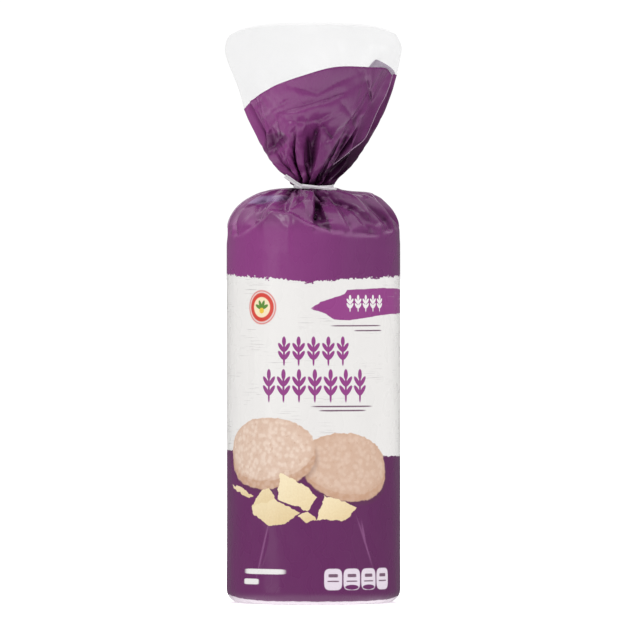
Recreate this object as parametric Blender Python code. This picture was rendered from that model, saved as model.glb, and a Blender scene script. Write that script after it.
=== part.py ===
"""A stack of puffed rice cakes in a tied film bag: a round sleeve with a puffed shoulder, a neck
gathered by a twist tie, and an open frill of film above the tie. It stands on its flat base.

Frame: metres, +Z up, origin at the middle of the base, front towards -Y.
"""

import math

import bmesh
import bpy
from mathutils import Matrix, Vector

# The stack inside sets the straight part of the sleeve.
CAKE_COUNT = 14
CAKE_THICKNESS = 0.01405
STACK_HEIGHT = CAKE_COUNT * CAKE_THICKNESS
SLEEVE_RADIUS = 0.0465
FOOT_ROUND = 0.007  # the film turns under the lowest cake on this radius

# The shoulder is half of a superellipse, from the stack's top edge in to the neck.
SHOULDER_TOP = 0.2205
SHOULDER_SQUARENESS = 2.3
NECK_RADIUS = 0.0102
NECK_TOP = 0.2245

# The frill is an oval trumpet of film. Its rim is highest at the front and back, where it leans least.
FRILL_HALF_WIDTH = 0.04755
FRILL_HALF_DEPTH = 0.036
FRILL_SIDE_TOP = 0.2960
FRILL_CROWN = 0.0137
FRILL_CROWN_SQUARENESS = 2.8
FRILL_WIDTH_POWER = 0.55
FRILL_DEPTH_POWER = 0.70
FRILL_WALL = 0.0009  # stands for film of 0.04 mm
FRILL_FLOOR_SHARE = 0.05  # how far up the frill its hollow begins

# The gathers: how many folds meet at the neck, and how deep they are as a share of the radius.
FOLD_COUNT = 14
NECK_FOLD_DEPTH = 0.16
FRILL_FOOT_FOLD_DEPTH = 0.26
FRILL_RIM_FOLD_DEPTH = 0.13
SHOULDER_FOLD_DEPTH = 0.14
SHOULDER_FOLD_SINK = 0.0042  # how far the shoulder's folds dip below its crests
FOLD_WANDER_TWICE = 1.1  # radians of phase that pull the folds off an even spacing
FOLD_WANDER_THRICE = 0.8
FOLD_SEAM_SHIFT = 0.9

SEGMENTS = 84
FOOT_STEPS = 5
SHOULDER_STEPS = 12
FRILL_STEPS = 12

# The twist tie: a ribbon with a wire in it, round the neck, twisted at the front left.
TIE_CLEARANCE = 0.0003
TIE_WIDTH = 0.0022
TIE_THICKNESS = 0.0005
TIE_HEIGHT = (SHOULDER_TOP + NECK_TOP) / 2
TIE_SEGMENTS = 48
KNOT_ANGLE = math.radians(242)
KNOT_LENGTH = 0.0038
KNOT_TURNS = 1.5
KNOT_STEPS = 12
RIGHT_TAIL_LENGTH = 0.0190
RIGHT_TAIL_WAY = Vector((1.0, -0.04, -0.03))
LEFT_TAIL_LENGTH = 0.0115
LEFT_TAIL_WAY = Vector((-0.82, -0.20, 0.52))
RUN_OVERLAP = 0.0003  # each run of ribbon begins this far inside the one before


def new_object(name, bm, material, sharp_angle=40):
    """A named object from a finished bmesh, shaded smooth except across sharp edges."""
    bmesh.ops.recalc_face_normals(bm, faces=bm.faces)
    mesh = bpy.data.meshes.new(name)
    bm.to_mesh(mesh)
    bm.free()
    mesh.shade_smooth()
    mesh.set_sharp_from_angle(angle=math.radians(sharp_angle))
    mesh.materials.append(material)
    obj = bpy.data.objects.new(name, mesh)
    bpy.context.scene.collection.objects.link(obj)
    return obj


def plain_material(name, colour, roughness, metallic=0.0):
    """A Principled material of one colour."""
    material = bpy.data.materials.new(name)
    material.use_nodes = True
    shader = material.node_tree.nodes["Principled BSDF"]
    shader.inputs["Base Color"].default_value = (*colour, 1.0)
    shader.inputs["Roughness"].default_value = roughness
    shader.inputs["Metallic"].default_value = metallic
    return material


def fold_at(angle):
    """How far the film is folded in at this angle: 0 on a pleat's crest and 1 in its valley.

    The phase wanders with the angle, so that no two pleats are alike, and it leaves a crest at
    each side, where the bag's two seams run.
    """
    phase = FOLD_COUNT * angle
    phase += FOLD_WANDER_TWICE * math.sin(2 * angle) + FOLD_WANDER_THRICE * math.sin(3 * angle)
    phase += FOLD_SEAM_SHIFT * (1 - math.cos(2 * angle))
    unevenness = 0.82 + 0.18 * math.sin(5 * angle + 1.3)
    return unevenness * (0.5 - 0.5 * math.cos(phase))


def crown_at(angle):
    """The rim's rise: 0 at the two sides of the frill and 1 at its front and back."""
    across = min(1.0, abs(math.cos(angle)))
    return (1 - across**FRILL_CROWN_SQUARENESS) ** (1 / FRILL_CROWN_SQUARENESS)


def ring(half_width, half_depth, height, fold_depth=0.0, fold_sink=0.0, crown=0.0, side_calm=0.0):
    """The points of one level of the film, as a list of SEGMENTS vectors.

    side_calm is the share of the fold depth that is lost at the two sides, where the seams run.
    """
    points = []
    for i in range(SEGMENTS):
        angle = 2 * math.pi * i / SEGMENTS
        fold = fold_at(angle) * (1 - side_calm * math.cos(angle) ** 2)
        reach = 1 - fold_depth * fold
        x = half_width * reach * math.cos(angle)
        y = half_depth * reach * math.sin(angle)
        z = height - fold_sink * fold + crown * crown_at(angle)
        points.append(Vector((x, y, z)))
    return points


def foot_rings():
    """From the rim of the flat base up round the lowest cake's edge."""
    flat_radius = SLEEVE_RADIUS - FOOT_ROUND
    rings = []
    for i in range(FOOT_STEPS + 1):
        turn = math.pi / 2 * i / FOOT_STEPS
        radius = flat_radius + FOOT_ROUND * math.sin(turn)
        rings.append(ring(radius, radius, FOOT_ROUND * (1 - math.cos(turn))))
    return rings


def shoulder_rings():
    """From the stack's top edge over the shoulder to the foot of the neck, pleated towards the neck."""
    rise = SHOULDER_TOP - STACK_HEIGHT
    spread = SLEEVE_RADIUS - NECK_RADIUS
    rings = []
    for i in range(SHOULDER_STEPS):
        turn = math.pi / 2 * i / SHOULDER_STEPS
        inward = math.cos(turn) ** (2 / SHOULDER_SQUARENESS)
        upward = math.sin(turn) ** (2 / SHOULDER_SQUARENESS)
        radius = NECK_RADIUS + spread * inward
        closeness = (1 - inward) ** 0.7
        depth = SHOULDER_FOLD_DEPTH * closeness
        sink = SHOULDER_FOLD_SINK * math.sin(math.pi * closeness)
        rings.append(ring(radius, radius, STACK_HEIGHT + rise * upward, depth, sink))
    rings.append(ring(NECK_RADIUS, NECK_RADIUS, SHOULDER_TOP, NECK_FOLD_DEPTH))
    return rings


def frill_ring(share, inset):
    """One level of the frill, at this share of its height, moved inwards by inset."""
    width = NECK_RADIUS + (FRILL_HALF_WIDTH - NECK_RADIUS) * share**FRILL_WIDTH_POWER
    depth = NECK_RADIUS + (FRILL_HALF_DEPTH - NECK_RADIUS) * share**FRILL_DEPTH_POWER
    height = NECK_TOP + (FRILL_SIDE_TOP - NECK_TOP) * share
    opened = share**0.5
    folds = FRILL_FOOT_FOLD_DEPTH * (1 - opened) + FRILL_RIM_FOLD_DEPTH * opened
    crown = FRILL_CROWN * share**2
    return ring(width - inset, depth - inset, height, folds, crown=crown, side_calm=0.8 * opened)


def frill_shares(first):
    """Shares of the frill's height, closer together near the neck, from first up to the rim."""
    return [first + (1 - first) * (i / FRILL_STEPS) ** 1.5 for i in range(FRILL_STEPS + 1)]


def extrude_ring(bm, loop, points):
    """Extrudes a closed loop of vertices and moves the new ones to the points, in the same order."""
    pairs = zip(loop, loop[1:] + loop[:1])
    edges = [bm.edges.get(pair) for pair in pairs]
    made = bmesh.ops.extrude_edge_only(bm, edges=edges)["geom"]
    fresh = {v for v in made if isinstance(v, bmesh.types.BMVert)}
    following = []
    for vertex, point in zip(loop, points):
        edge = next(e for e in vertex.link_edges if e.other_vert(vertex) in fresh)
        new_vertex = edge.other_vert(vertex)
        new_vertex.co = point
        following.append(new_vertex)
    return following


def make_film_bag(material):
    """The bag with its stack, as one solid: base, sleeve, shoulder, neck, and the frill's two faces."""
    levels = foot_rings()
    levels += shoulder_rings()
    levels.append(ring(NECK_RADIUS, NECK_RADIUS, NECK_TOP, NECK_FOLD_DEPTH))
    levels += [frill_ring(share, 0.0) for share in frill_shares(0.0)[1:]]
    levels += [frill_ring(share, FRILL_WALL) for share in reversed(frill_shares(FRILL_FLOOR_SHARE))]

    bm = bmesh.new()
    base = bmesh.ops.create_circle(bm, cap_ends=True, segments=SEGMENTS, radius=SLEEVE_RADIUS)
    loop = base["verts"]
    for vertex, point in zip(loop, levels[0]):
        vertex.co = point
    for points in levels[1:]:
        loop = extrude_ring(bm, loop, points)
    bmesh.ops.contextual_create(bm, geom=loop)
    return new_object("film_bag", bm, material)


def ribbon_run(name, length, turns=0.0, steps=1):
    """The mesh of a straight run of ribbon along +X from the origin, twisted about its own length."""
    bm = bmesh.new()
    bmesh.ops.create_cube(bm, size=1.0)
    bmesh.ops.scale(bm, vec=(length, TIE_THICKNESS, TIE_WIDTH), verts=bm.verts)
    bmesh.ops.translate(bm, vec=(length / 2, 0, 0), verts=bm.verts)
    if steps > 1:
        lengthwise = [e for e in bm.edges if abs(e.verts[0].co.x - e.verts[1].co.x) > length / 2]
        bmesh.ops.subdivide_edges(bm, edges=lengthwise, cuts=steps - 1, use_grid_fill=True)
    for vertex in bm.verts:
        turn = 2 * math.pi * turns * vertex.co.x / length
        vertex.co = Matrix.Rotation(turn, 3, "X") @ vertex.co
    mesh = bpy.data.meshes.new(name)
    bm.to_mesh(mesh)
    bm.free()
    return mesh


def placement(point, along, outward):
    """A placement whose X axis runs along a direction and whose Y axis faces outward."""
    x_axis = along.normalized()
    z_axis = x_axis.cross(outward).normalized()
    y_axis = z_axis.cross(x_axis)
    turned = Matrix((x_axis, y_axis, z_axis)).transposed().to_4x4()
    return Matrix.Translation(point) @ turned


def join_run(tie, mesh, start, along, outward):
    """Joins a run of ribbon to the tie, from just behind its start, by a Boolean with a hidden helper."""
    helper = bpy.data.objects.new(mesh.name, mesh)
    helper.matrix_world = placement(start - along.normalized() * RUN_OVERLAP, along, outward)
    helper.hide_render = True
    helper.display_type = "WIRE"
    bpy.context.scene.collection.objects.link(helper)
    union = tie.modifiers.new(mesh.name, "BOOLEAN")
    union.operation = "UNION"
    union.solver = "EXACT"
    union.object = helper


def make_tie_band(material):
    """The ribbon's turn round the neck: its section, spun about the bag's axis."""
    inner = NECK_RADIUS + TIE_CLEARANCE
    outer = inner + TIE_THICKNESS
    half_width = TIE_WIDTH / 2
    bm = bmesh.new()
    corners = ((inner, -half_width), (outer, -half_width), (outer, half_width), (inner, half_width))
    section = [bm.verts.new((radius, 0, height)) for radius, height in corners]
    edges = [bm.edges.new((section[i - 1], section[i])) for i in range(len(section))]
    bmesh.ops.spin(
        bm,
        geom=section + edges,
        axis=(0, 0, 1),
        cent=(0, 0, 0),
        angle=2 * math.pi,
        steps=TIE_SEGMENTS,
        use_merge=True,
    )
    bmesh.ops.translate(bm, vec=(0, 0, TIE_HEIGHT), verts=bm.verts)
    return new_object("twist_tie", bm, material)


def make_twist_tie(material):
    """The tie: a band round the neck, a twisted knot at the front left, and two tails."""
    tie = make_tie_band(material)
    outward = Vector((math.cos(KNOT_ANGLE), math.sin(KNOT_ANGLE), 0))
    band_middle = NECK_RADIUS + TIE_CLEARANCE + TIE_THICKNESS / 2
    knot_start = outward * band_middle + Vector((0, 0, TIE_HEIGHT))
    knot_end = knot_start + outward * KNOT_LENGTH

    knot = ribbon_run("tie_knot", KNOT_LENGTH + 2 * RUN_OVERLAP, KNOT_TURNS, KNOT_STEPS)
    join_run(tie, knot, knot_start, outward, Vector((0, 0, 1)))
    right_tail = ribbon_run("tie_right_tail", RIGHT_TAIL_LENGTH)
    join_run(tie, right_tail, knot_end, RIGHT_TAIL_WAY, outward)
    left_tail = ribbon_run("tie_left_tail", LEFT_TAIL_LENGTH)
    join_run(tie, left_tail, knot_end, LEFT_TAIL_WAY, outward)
    return tie


def main():
    for obj in list(bpy.data.objects):
        bpy.data.objects.remove(obj)
    film = plain_material("printed_film", (0.17, 0.035, 0.13), 0.35)
    ribbon = plain_material("tie_ribbon", (0.80, 0.79, 0.78), 0.40)
    make_film_bag(film)
    make_twist_tie(ribbon)


main()
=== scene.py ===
# %% [markdown]
# # A tied bag of puffed rice cakes
#
# The real thing is a tube of thin printed film. A stack of round puffed rice cakes fills its lower
# two thirds, a twist tie gathers the film above them, and the spare film opens above the tie as a
# frill. This notebook builds that film the way the bag was made: it is laid out flat, rolled into
# a tube, gathered, and then settled by a cloth simulation, so that its folds are the folds that
# real film would take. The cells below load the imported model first, because every size comes
# from it.

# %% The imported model
import math

import bmesh
import bpy
import numpy as np
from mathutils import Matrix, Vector


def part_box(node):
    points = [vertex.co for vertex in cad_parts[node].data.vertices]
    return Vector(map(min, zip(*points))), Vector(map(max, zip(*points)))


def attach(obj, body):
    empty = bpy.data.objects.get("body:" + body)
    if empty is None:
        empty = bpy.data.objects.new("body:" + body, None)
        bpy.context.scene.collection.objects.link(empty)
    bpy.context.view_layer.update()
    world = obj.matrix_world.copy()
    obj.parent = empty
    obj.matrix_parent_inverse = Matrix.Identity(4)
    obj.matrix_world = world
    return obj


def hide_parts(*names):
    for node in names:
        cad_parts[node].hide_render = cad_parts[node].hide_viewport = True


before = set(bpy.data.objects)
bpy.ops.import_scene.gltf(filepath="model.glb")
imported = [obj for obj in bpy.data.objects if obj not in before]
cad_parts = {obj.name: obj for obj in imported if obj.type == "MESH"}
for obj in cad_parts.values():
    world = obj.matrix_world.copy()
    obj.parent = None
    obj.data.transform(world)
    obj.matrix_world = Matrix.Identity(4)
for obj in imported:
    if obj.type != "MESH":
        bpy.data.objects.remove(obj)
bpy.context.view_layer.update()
bag_low, bag_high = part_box("film_bag")
print("bag from", bag_low, "to", bag_high)

# %% [markdown]
# ## Sizes
#
# Everything is in metres, with +Z up and the printed front towards -Y. The sleeve is round, so its
# radius is half of the bag's depth. The rim of the frill is a little wider than the sleeve. The
# stack's height is that of fourteen cakes, and the tie sits just above the puffed shoulder.

# %% Main sizes
MM = 0.001
PER_METRE = 1000  # millimetres
SLEEVE_RADIUS = bag_high.y
RIM_HALF_WIDTH = bag_high.x
RIM_TOP = bag_high.z
FOOT_ROUND = 7 * MM
CAKES = 14
CAKE_HEIGHT = 14.0  # of each cake in the stack, in millimetres
STACK_TOP = CAKES * CAKE_HEIGHT * MM
NECK_BOTTOM = 221.6 * MM
NECK_HIGH = 223.4 * MM
TIE_HEIGHT = (NECK_BOTTOM + NECK_HIGH) / 2
NECK_RADIUS = 9.8 * MM
print("sleeve radius", SLEEVE_RADIUS, "rim half width", RIM_HALF_WIDTH)

# %% [markdown]
# ## Camera and light
#
# The pack is seen from straight in front and hardly from above, through a very long lens, so its
# sides and its base stay straight. The light is that of a product picture. A sun lamp as wide as
# a ceiling of cloth whitens the floor evenly. The camera sees a white backdrop, but the film is
# lit by a studio that is dark near the horizon and white overhead, so that the glossy sides of
# the bag keep their colour. A small lamp at the front left draws reflections along the creases, a
# tall one beside it puts a soft sheen on the sleeve, and a wide one fills in from the right.

# %% Camera
CAMERA_DISTANCE = 6.0
CAMERA_RISE = math.radians(0.5)
SENSOR = 36.0
PICTURE_HEIGHT = 0.3351  # how much of the scene the square picture shows at the bag's distance


def look_at(obj, target):
    """Turns a camera or lamp so that it faces a point."""
    obj.rotation_euler = (Vector(target) - obj.location).to_track_quat("-Z", "Y").to_euler()


middle = Vector((0, 0, RIM_TOP / 2 - 0.5 * MM))
camera_data = bpy.data.cameras.new("camera")
camera_data.sensor_width = SENSOR
camera_data.lens = SENSOR * CAMERA_DISTANCE / PICTURE_HEIGHT
camera_data.clip_start = 0.05
camera = bpy.data.objects.new("camera", camera_data)
bpy.context.scene.collection.objects.link(camera)
towards_camera = Vector((0, -math.cos(CAMERA_RISE), math.sin(CAMERA_RISE)))
camera.location = middle + CAMERA_DISTANCE * towards_camera
look_at(camera, middle)
bpy.context.scene.camera = camera
bpy.context.scene.view_settings.view_transform = "Standard"
print("lens", round(camera_data.lens, 1), "mm")

# %% World
BACKDROP_WHITE = 0.557  # what the camera sees of the backdrop, before the power below
STUDIO_POWER = 1.85
MIX_FACTOR, MIX_UNDER, MIX_OVER, MIX_RESULT = 0, 6, 7, 2  # a Mix node's sockets for colours

world = bpy.data.worlds.new("studio")
world.use_nodes = True
nodes, links = world.node_tree.nodes, world.node_tree.links
direction = nodes.new("ShaderNodeTexCoord")
parts = nodes.new("ShaderNodeSeparateXYZ")
steepness = nodes.new("ShaderNodeMath")
steepness.operation = "ABSOLUTE"
studio = nodes.new("ShaderNodeValToRGB")
studio.color_ramp.interpolation = "EASE"
for spot, value in ((0.02, 0.10), (0.25, 0.16), (0.45, 0.40), (0.65, 1.0)):
    stop = studio.color_ramp.elements.new(spot)
    stop.color = (value, value, value, 1)
studio.color_ramp.elements.remove(studio.color_ramp.elements[-1])
studio.color_ramp.elements.remove(studio.color_ramp.elements[0])
path = nodes.new("ShaderNodeLightPath")
backdrop = nodes.new("ShaderNodeMix")
backdrop.data_type = "RGBA"
backdrop.inputs[MIX_OVER].default_value = (BACKDROP_WHITE, BACKDROP_WHITE, BACKDROP_WHITE, 1)
links.new(direction.outputs["Generated"], parts.inputs["Vector"])
links.new(parts.outputs["Z"], steepness.inputs[0])
links.new(steepness.outputs["Value"], studio.inputs["Fac"])
links.new(path.outputs["Is Camera Ray"], backdrop.inputs[MIX_FACTOR])
links.new(studio.outputs["Color"], backdrop.inputs[MIX_UNDER])
links.new(backdrop.outputs[MIX_RESULT], nodes["Background"].inputs["Color"])
nodes["Background"].inputs["Strength"].default_value = STUDIO_POWER
bpy.context.scene.world = world


# %% Lamps
def add_lamp(name, kind, place, power):
    """A lamp that faces the bag's middle."""
    lamp = bpy.data.lights.new(name, kind)
    lamp.energy = power
    lamp_object = bpy.data.objects.new(name, lamp)
    lamp_object.location = place
    bpy.context.scene.collection.objects.link(lamp_object)
    look_at(lamp_object, middle)
    return lamp, lamp_object


key, _ = add_lamp("key_lamp", "AREA", (-1.05, -1.2, 0.8), 5.5)
key.size = 0.28
strip, _ = add_lamp("strip_lamp", "AREA", (-1.75, -1.1, 0.25), 3.5)
strip.shape = "RECTANGLE"
strip.size = 0.5
strip.size_y = 1.7
right, right_lamp = add_lamp("right_lamp", "AREA", (1.9, -1.0, 0.6), 15.0)
right.size = 1.6
right_lamp.visible_glossy = False
ceiling, _ = add_lamp("ceiling", "SUN", (0.0, 0.0, 2.0), 2.6)
ceiling.angle = math.radians(30)

# %% Floor
floor_mesh = bpy.data.meshes.new("floor")
floor_shape = bmesh.new()
bmesh.ops.create_grid(floor_shape, x_segments=1, y_segments=1, size=30.0)
floor_shape.to_mesh(floor_mesh)
floor_shape.free()
floor = bpy.data.objects.new("floor", floor_mesh)
bpy.context.scene.collection.objects.link(floor)
floor.visible_diffuse = False
floor.visible_glossy = False
floor_only = bpy.data.collections.new("floor_only")
floor_only.objects.link(floor)
bpy.data.objects["ceiling"].light_linking.receiver_collection = floor_only

# %% [markdown]
# ## Painting with nodes
#
# A printed film needs many small masks: an ellipse here, a ragged edge there. Written node by
# node they would be unreadable. The helper class below wraps a node's output, so that a sum or a
# product of two of them adds the Math node that does it, and a mask reads like its formula.


# %% A number that varies over a surface
class Signal:
    """The output of a node. Sums, products and so on of signals add Math nodes."""

    def __init__(self, tree, socket):
        self.tree = tree
        self.socket = socket

    def math(self, operation, other=0.0):
        node = self.tree.nodes.new("ShaderNodeMath")
        node.operation = operation
        for slot, value in zip(node.inputs, (self, other)):
            if isinstance(value, Signal):
                self.tree.links.new(value.socket, slot)
            else:
                slot.default_value = value
        return Signal(self.tree, node.outputs[0])

    def __add__(self, other):
        return self.math("ADD", other)

    def __sub__(self, other):
        return self.math("SUBTRACT", other)

    def __mul__(self, other):
        return self.math("MULTIPLY", other)

    def __truediv__(self, other):
        return self.math("DIVIDE", other)

    def __abs__(self):
        return self.math("ABSOLUTE")

    def power(self, exponent):
        return self.math("POWER", exponent)

    def lowest(self, other):
        return self.math("MINIMUM", other)

    def highest(self, other):
        return self.math("MAXIMUM", other)

    def held(self):
        """Kept between 0 and 1."""
        return self.highest(0.0).lowest(1.0)

    def rise(self, low, high):
        """0 below low, 1 above high, and a smooth step between them. high may be the lower one."""
        node = self.tree.nodes.new("ShaderNodeMapRange")
        node.interpolation_type = "SMOOTHSTEP"
        node.clamp = False  # a smooth step never leaves its range
        self.tree.links.new(self.socket, node.inputs["Value"])
        swapped = low > high
        node.inputs["From Min"].default_value = min(low, high)
        node.inputs["From Max"].default_value = max(low, high)
        node.inputs["To Min"].default_value = 1.0 if swapped else 0.0
        node.inputs["To Max"].default_value = 0.0 if swapped else 1.0
        return Signal(self.tree, node.outputs["Result"])


# %% A finish
class Finish:
    """A material with one Principled shader, and the tools to paint its colour and relief."""

    def __init__(self, name, roughness=0.4):
        self.material = bpy.data.materials.new(name)
        self.material.use_nodes = True
        self.tree = self.material.node_tree
        self.shader = self.tree.nodes["Principled BSDF"]
        self.set("Roughness", roughness)

    def set(self, socket, value):
        """Gives one of the shader's sockets a constant, or joins a signal to it."""
        if isinstance(value, Signal):
            self.tree.links.new(value.socket, self.shader.inputs[socket])
        else:
            self.shader.inputs[socket].default_value = value

    def node(self, kind, **settings):
        made = self.tree.nodes.new(kind)
        for name, value in settings.items():
            setattr(made, name, value)
        return made

    def signal(self, socket):
        return Signal(self.tree, socket)

    def film_place(self):
        """A point's place on the flat film: millimetres round from the front, and up."""
        uv = self.node("ShaderNodeUVMap", uv_map="film")
        parts = self.node("ShaderNodeSeparateXYZ")
        self.tree.links.new(uv.outputs["UV"], parts.inputs["Vector"])
        return self.signal(parts.outputs["X"]) * PER_METRE, self.signal(parts.outputs["Y"]) * PER_METRE

    def vector(self, x, y, z=0.0):
        made = self.node("ShaderNodeCombineXYZ")
        for slot, value in zip(made.inputs, (x, y, z)):
            if isinstance(value, Signal):
                self.tree.links.new(value.socket, slot)
            else:
                slot.default_value = value
        return made.outputs["Vector"]

    def noise(self, vector, scale=1.0, detail=2.0, roughness=0.5):
        """Smooth noise from about 0 to 1."""
        made = self.node("ShaderNodeTexNoise")
        self.tree.links.new(vector, made.inputs["Vector"])
        made.inputs["Scale"].default_value = scale
        made.inputs["Detail"].default_value = detail
        made.inputs["Roughness"].default_value = roughness
        return self.signal(made.outputs["Fac"])

    def cells(self, vector, feature, scale=1.0):
        """A distance among many scattered points: to the nearest, or to the edge of its cell."""
        made = self.node("ShaderNodeTexVoronoi", feature=feature)
        self.tree.links.new(vector, made.inputs["Vector"])
        made.inputs["Scale"].default_value = scale
        return self.signal(made.outputs["Distance"])

    def mix(self, mask, under, over):
        """One colour laid over another through a mask."""
        made = self.node("ShaderNodeMix", data_type="RGBA")
        for index, value in ((MIX_FACTOR, mask), (MIX_UNDER, under), (MIX_OVER, over)):
            slot = made.inputs[index]
            if isinstance(value, Signal):
                self.tree.links.new(value.socket, slot)
            elif isinstance(value, (int, float)):
                slot.default_value = value
            else:
                slot.default_value = (*value, 1.0)
        return self.signal(made.outputs[MIX_RESULT])

    def relief(self, height, depth):
        """Bumps the surface by a signal, times depth in metres."""
        bump = self.node("ShaderNodeBump")
        bump.inputs["Distance"].default_value = depth
        self.tree.links.new(height.socket, bump.inputs["Height"])
        self.tree.links.new(bump.outputs["Normal"], self.shader.inputs["Normal"])


def srgb(red, green, blue):
    """A colour given from 0 to 255, as a screen shows it, in the linear numbers of shaders."""
    parts = (channel / 255 for channel in (red, green, blue))
    return tuple(c / 12.92 if c <= 0.04045 else ((c + 0.055) / 1.055) ** 2.4 for c in parts)


# %% Floor finish
floor_finish = Finish("pale_floor", roughness=0.7)
floor_spots = floor_finish.node("ShaderNodeTexCoord").outputs["Object"]
floor_tone = floor_finish.noise(floor_spots, scale=3.0, detail=3.0)
floor_greys = ((0.925, 0.925, 0.925), (0.935, 0.935, 0.935))
floor_finish.set("Base Color", floor_finish.mix(floor_tone, *floor_greys))
floor_mesh.materials.append(floor_finish.material)

# %% [markdown]
# ## Laying out the film
#
# The film is one sheet whose left and right edges are welded into a tube. A grid with a column
# for each step round the bag and a row for each step up the film stands for it. Each column has
# its angle round the bag, where 0 is the front, and each row has its level, which is how far up
# the film it lies, counted so that on the sleeve it is the height. Both are kept in a UV map in
# metres, so that the print below can be laid out as on the flat film, and follows every fold.

# %% Columns round the bag
COLUMNS = 192
column_angles = np.array([2 * math.pi * (i / COLUMNS - 0.5) for i in range(COLUMNS)])


def girth(points):
    """The length of a closed line of points, row by row."""
    steps = np.roll(points, -1, axis=0) - points
    return np.sqrt((steps**2).sum(axis=1)).sum()


# %% [markdown]
# ## Gathering
#
# Film hardly stretches, so where the outline of the bag narrows, what it loses in girth goes into
# pleats. A row of film is therefore an oval outline with a wave pressed into it, and the depth of
# the wave is found by halving steps until the row is as long as the film should be there. Near
# the tie there are many sharp pleats, and towards the rim a few broad ones.

# %% The pleats
PLEATS = 13
BROAD_WAVES = 6
HALVINGS = 40  # steps in finding a pleat's depth


def sharp_pleats(angles):
    """1 on the crests and -1 in the narrow valleys of the pleats at the tie, unevenly spaced."""
    phase = PLEATS * angles + 1.2 * np.sin(2 * angles + 0.3) + np.sin(3 * angles + 2.0)
    phase += 0.6 * np.sin(5 * angles + 1.0)
    return 1 - 2 * np.abs(np.cos(phase / 2)) ** 0.8


def broad_pleats(angles):
    """The few broad waves at the rim, one crest at each side."""
    phase = BROAD_WAVES * (angles - math.pi / 2)
    phase += 1.1 * np.sin(2 * angles + 0.4) + 0.8 * np.sin(angles + 2.6)
    return np.cos(phase)


def front_calm(angles, amount):
    """The share of the pleats' depth that is left, least in the middle of the front."""
    from_front = (angles + math.pi) % (2 * math.pi) - math.pi
    return 1 - amount * np.exp(-(from_front**4) / 2)


def gathered_row(half_width, half_depth, broad=0.0, fullness=1.0, calm=0.0, turn=0.0):
    """One row of film as x, y points, and its girth. fullness is its girth over the outline's."""
    angles = column_angles + turn
    pleats = (1 - broad) * sharp_pleats(angles) + broad * broad_pleats(angles)
    pleats = (1 - pleats) * front_calm(angles, calm)

    def pressed(depth):
        x = (half_width - depth * pleats) * np.sin(angles)
        y = -(half_depth - depth * pleats) * np.cos(angles)
        return np.stack([x, y], axis=1)

    target = girth(pressed(0.0)) * fullness
    least, most = 0.0, 0.45 * min(half_width, half_depth)
    for _ in range(HALVINGS if fullness > 1.0 else 0):
        depth = (least + most) / 2
        if girth(pressed(depth)) < target:
            least = depth
        else:
            most = depth
    return pressed(least), target


# %% [markdown]
# ## The rows
#
# The rows follow the bag from the middle of its base, out and round the foot, up the sleeve, over
# the shoulder, through the tie, and up the frill. Two smooth outlines do most of the work. The
# shoulder is a quarter of a superellipse, and the frill is an oval trumpet whose rim is highest
# at the front and back, where it leans out least.

# %% Outlines
SHOULDER_SQUARENESS = 2.3
RIM_HALF_DEPTH = 37 * MM
RIM_CROWN = 13.5 * MM
CROWN_SQUARENESS = 2.8
FRILL_LENGTH = 86.5 * MM
PRINT_LEVEL = 60.3 * MM  # how far up the frill its print goes
PRINT_SLANT = 10 * MM  # and how much further at the right than in the middle
PRINT_BOW = 7.3 * MM  # and how much further at the front than at the sides
PRINT_HUMP = 3.5 * MM  # a low hump in it at the front left
PRINT_DIP = 2.4 * MM  # and a dip at the front right
PRINT_CORNER = 12.5 * MM  # the corner that stands up at the back right
PRINT_WAY = 0.75  # the share of the frill's rows that is printed


def shoulder_outline(share):
    """Radius and height on the shoulder, from the stack's edge at 0 to the tie at 1."""
    turn = share * math.pi / 2
    radius = NECK_RADIUS + (SLEEVE_RADIUS - NECK_RADIUS) * math.cos(turn) ** (2 / SHOULDER_SQUARENESS)
    height = STACK_TOP + (NECK_BOTTOM - STACK_TOP) * math.sin(turn) ** (2 / SHOULDER_SQUARENESS)
    return radius, height


def frill_outline(share):
    """Half width and height at the side of the frill, from the tie at 0 to the rim at 1."""
    half_width = NECK_RADIUS + (RIM_HALF_WIDTH - 0.3 * MM - NECK_RADIUS) * share**0.55
    return half_width, NECK_HIGH + (RIM_TOP - RIM_CROWN - NECK_HIGH) * share


def shares_by_length(outline, samples=600):
    """Shares along an outline, and the length of it up to each."""
    shares = np.linspace(0, 1, samples)
    points = np.array([outline(share) for share in shares])
    steps = np.sqrt((np.diff(points, axis=0) ** 2).sum(axis=1))
    return shares, np.concatenate([[0], np.cumsum(steps)])


# %% Building the list of rows
BASE_PITCH = 4 * MM
BASE_START = 1.5 * MM  # the radius of the first row, which a cap closes
FOOT_STEPS = 6
NECK_STEPS = 2
SLEEVE_PITCH = 3 * MM
FINE_PITCH = 1.6 * MM
NECK_FULLNESS = 2.5
SHOULDER_FULLNESS = 1.12
RIM_FULLNESS = 1.015
FRILL_TURN = math.radians(-13)
FRILL_SPARE = 1.04  # film that the frill has over its first shape, which the cloth turns into folds
SHOULDER_SPARE = 1.08
SHOULDER_SPARE_LENGTH = 1.05
FRILL_SPARE_LENGTH = 1.02


class Rows:
    """The film's rows, from the middle of the base up to the rim."""

    def __init__(self):
        self.points, self.levels, self.girths, self.parts = [], [], [], []
        self.spare_girth, self.spare_length = [], []

    def add(self, part, level, height, row, spare=(1.0, 1.0)):
        points, length = row
        heights = np.broadcast_to(height, (COLUMNS,))
        self.points.append(np.column_stack([points, heights]))
        self.levels.append(level)
        self.girths.append(length)
        self.parts.append(part)
        self.spare_girth.append(spare[0])
        self.spare_length.append(spare[1])

    def span(self, part):
        """The first and last row of a part."""
        found = [i for i, name in enumerate(self.parts) if name == part]
        return found[0], found[-1]


def crown(angles):
    """The rim's rise: 0 at the frill's two sides and 1 at its front and back."""
    across = np.abs(np.sin(angles))
    return (1 - across**CROWN_SQUARENESS) ** (1 / CROWN_SQUARENESS)


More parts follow.
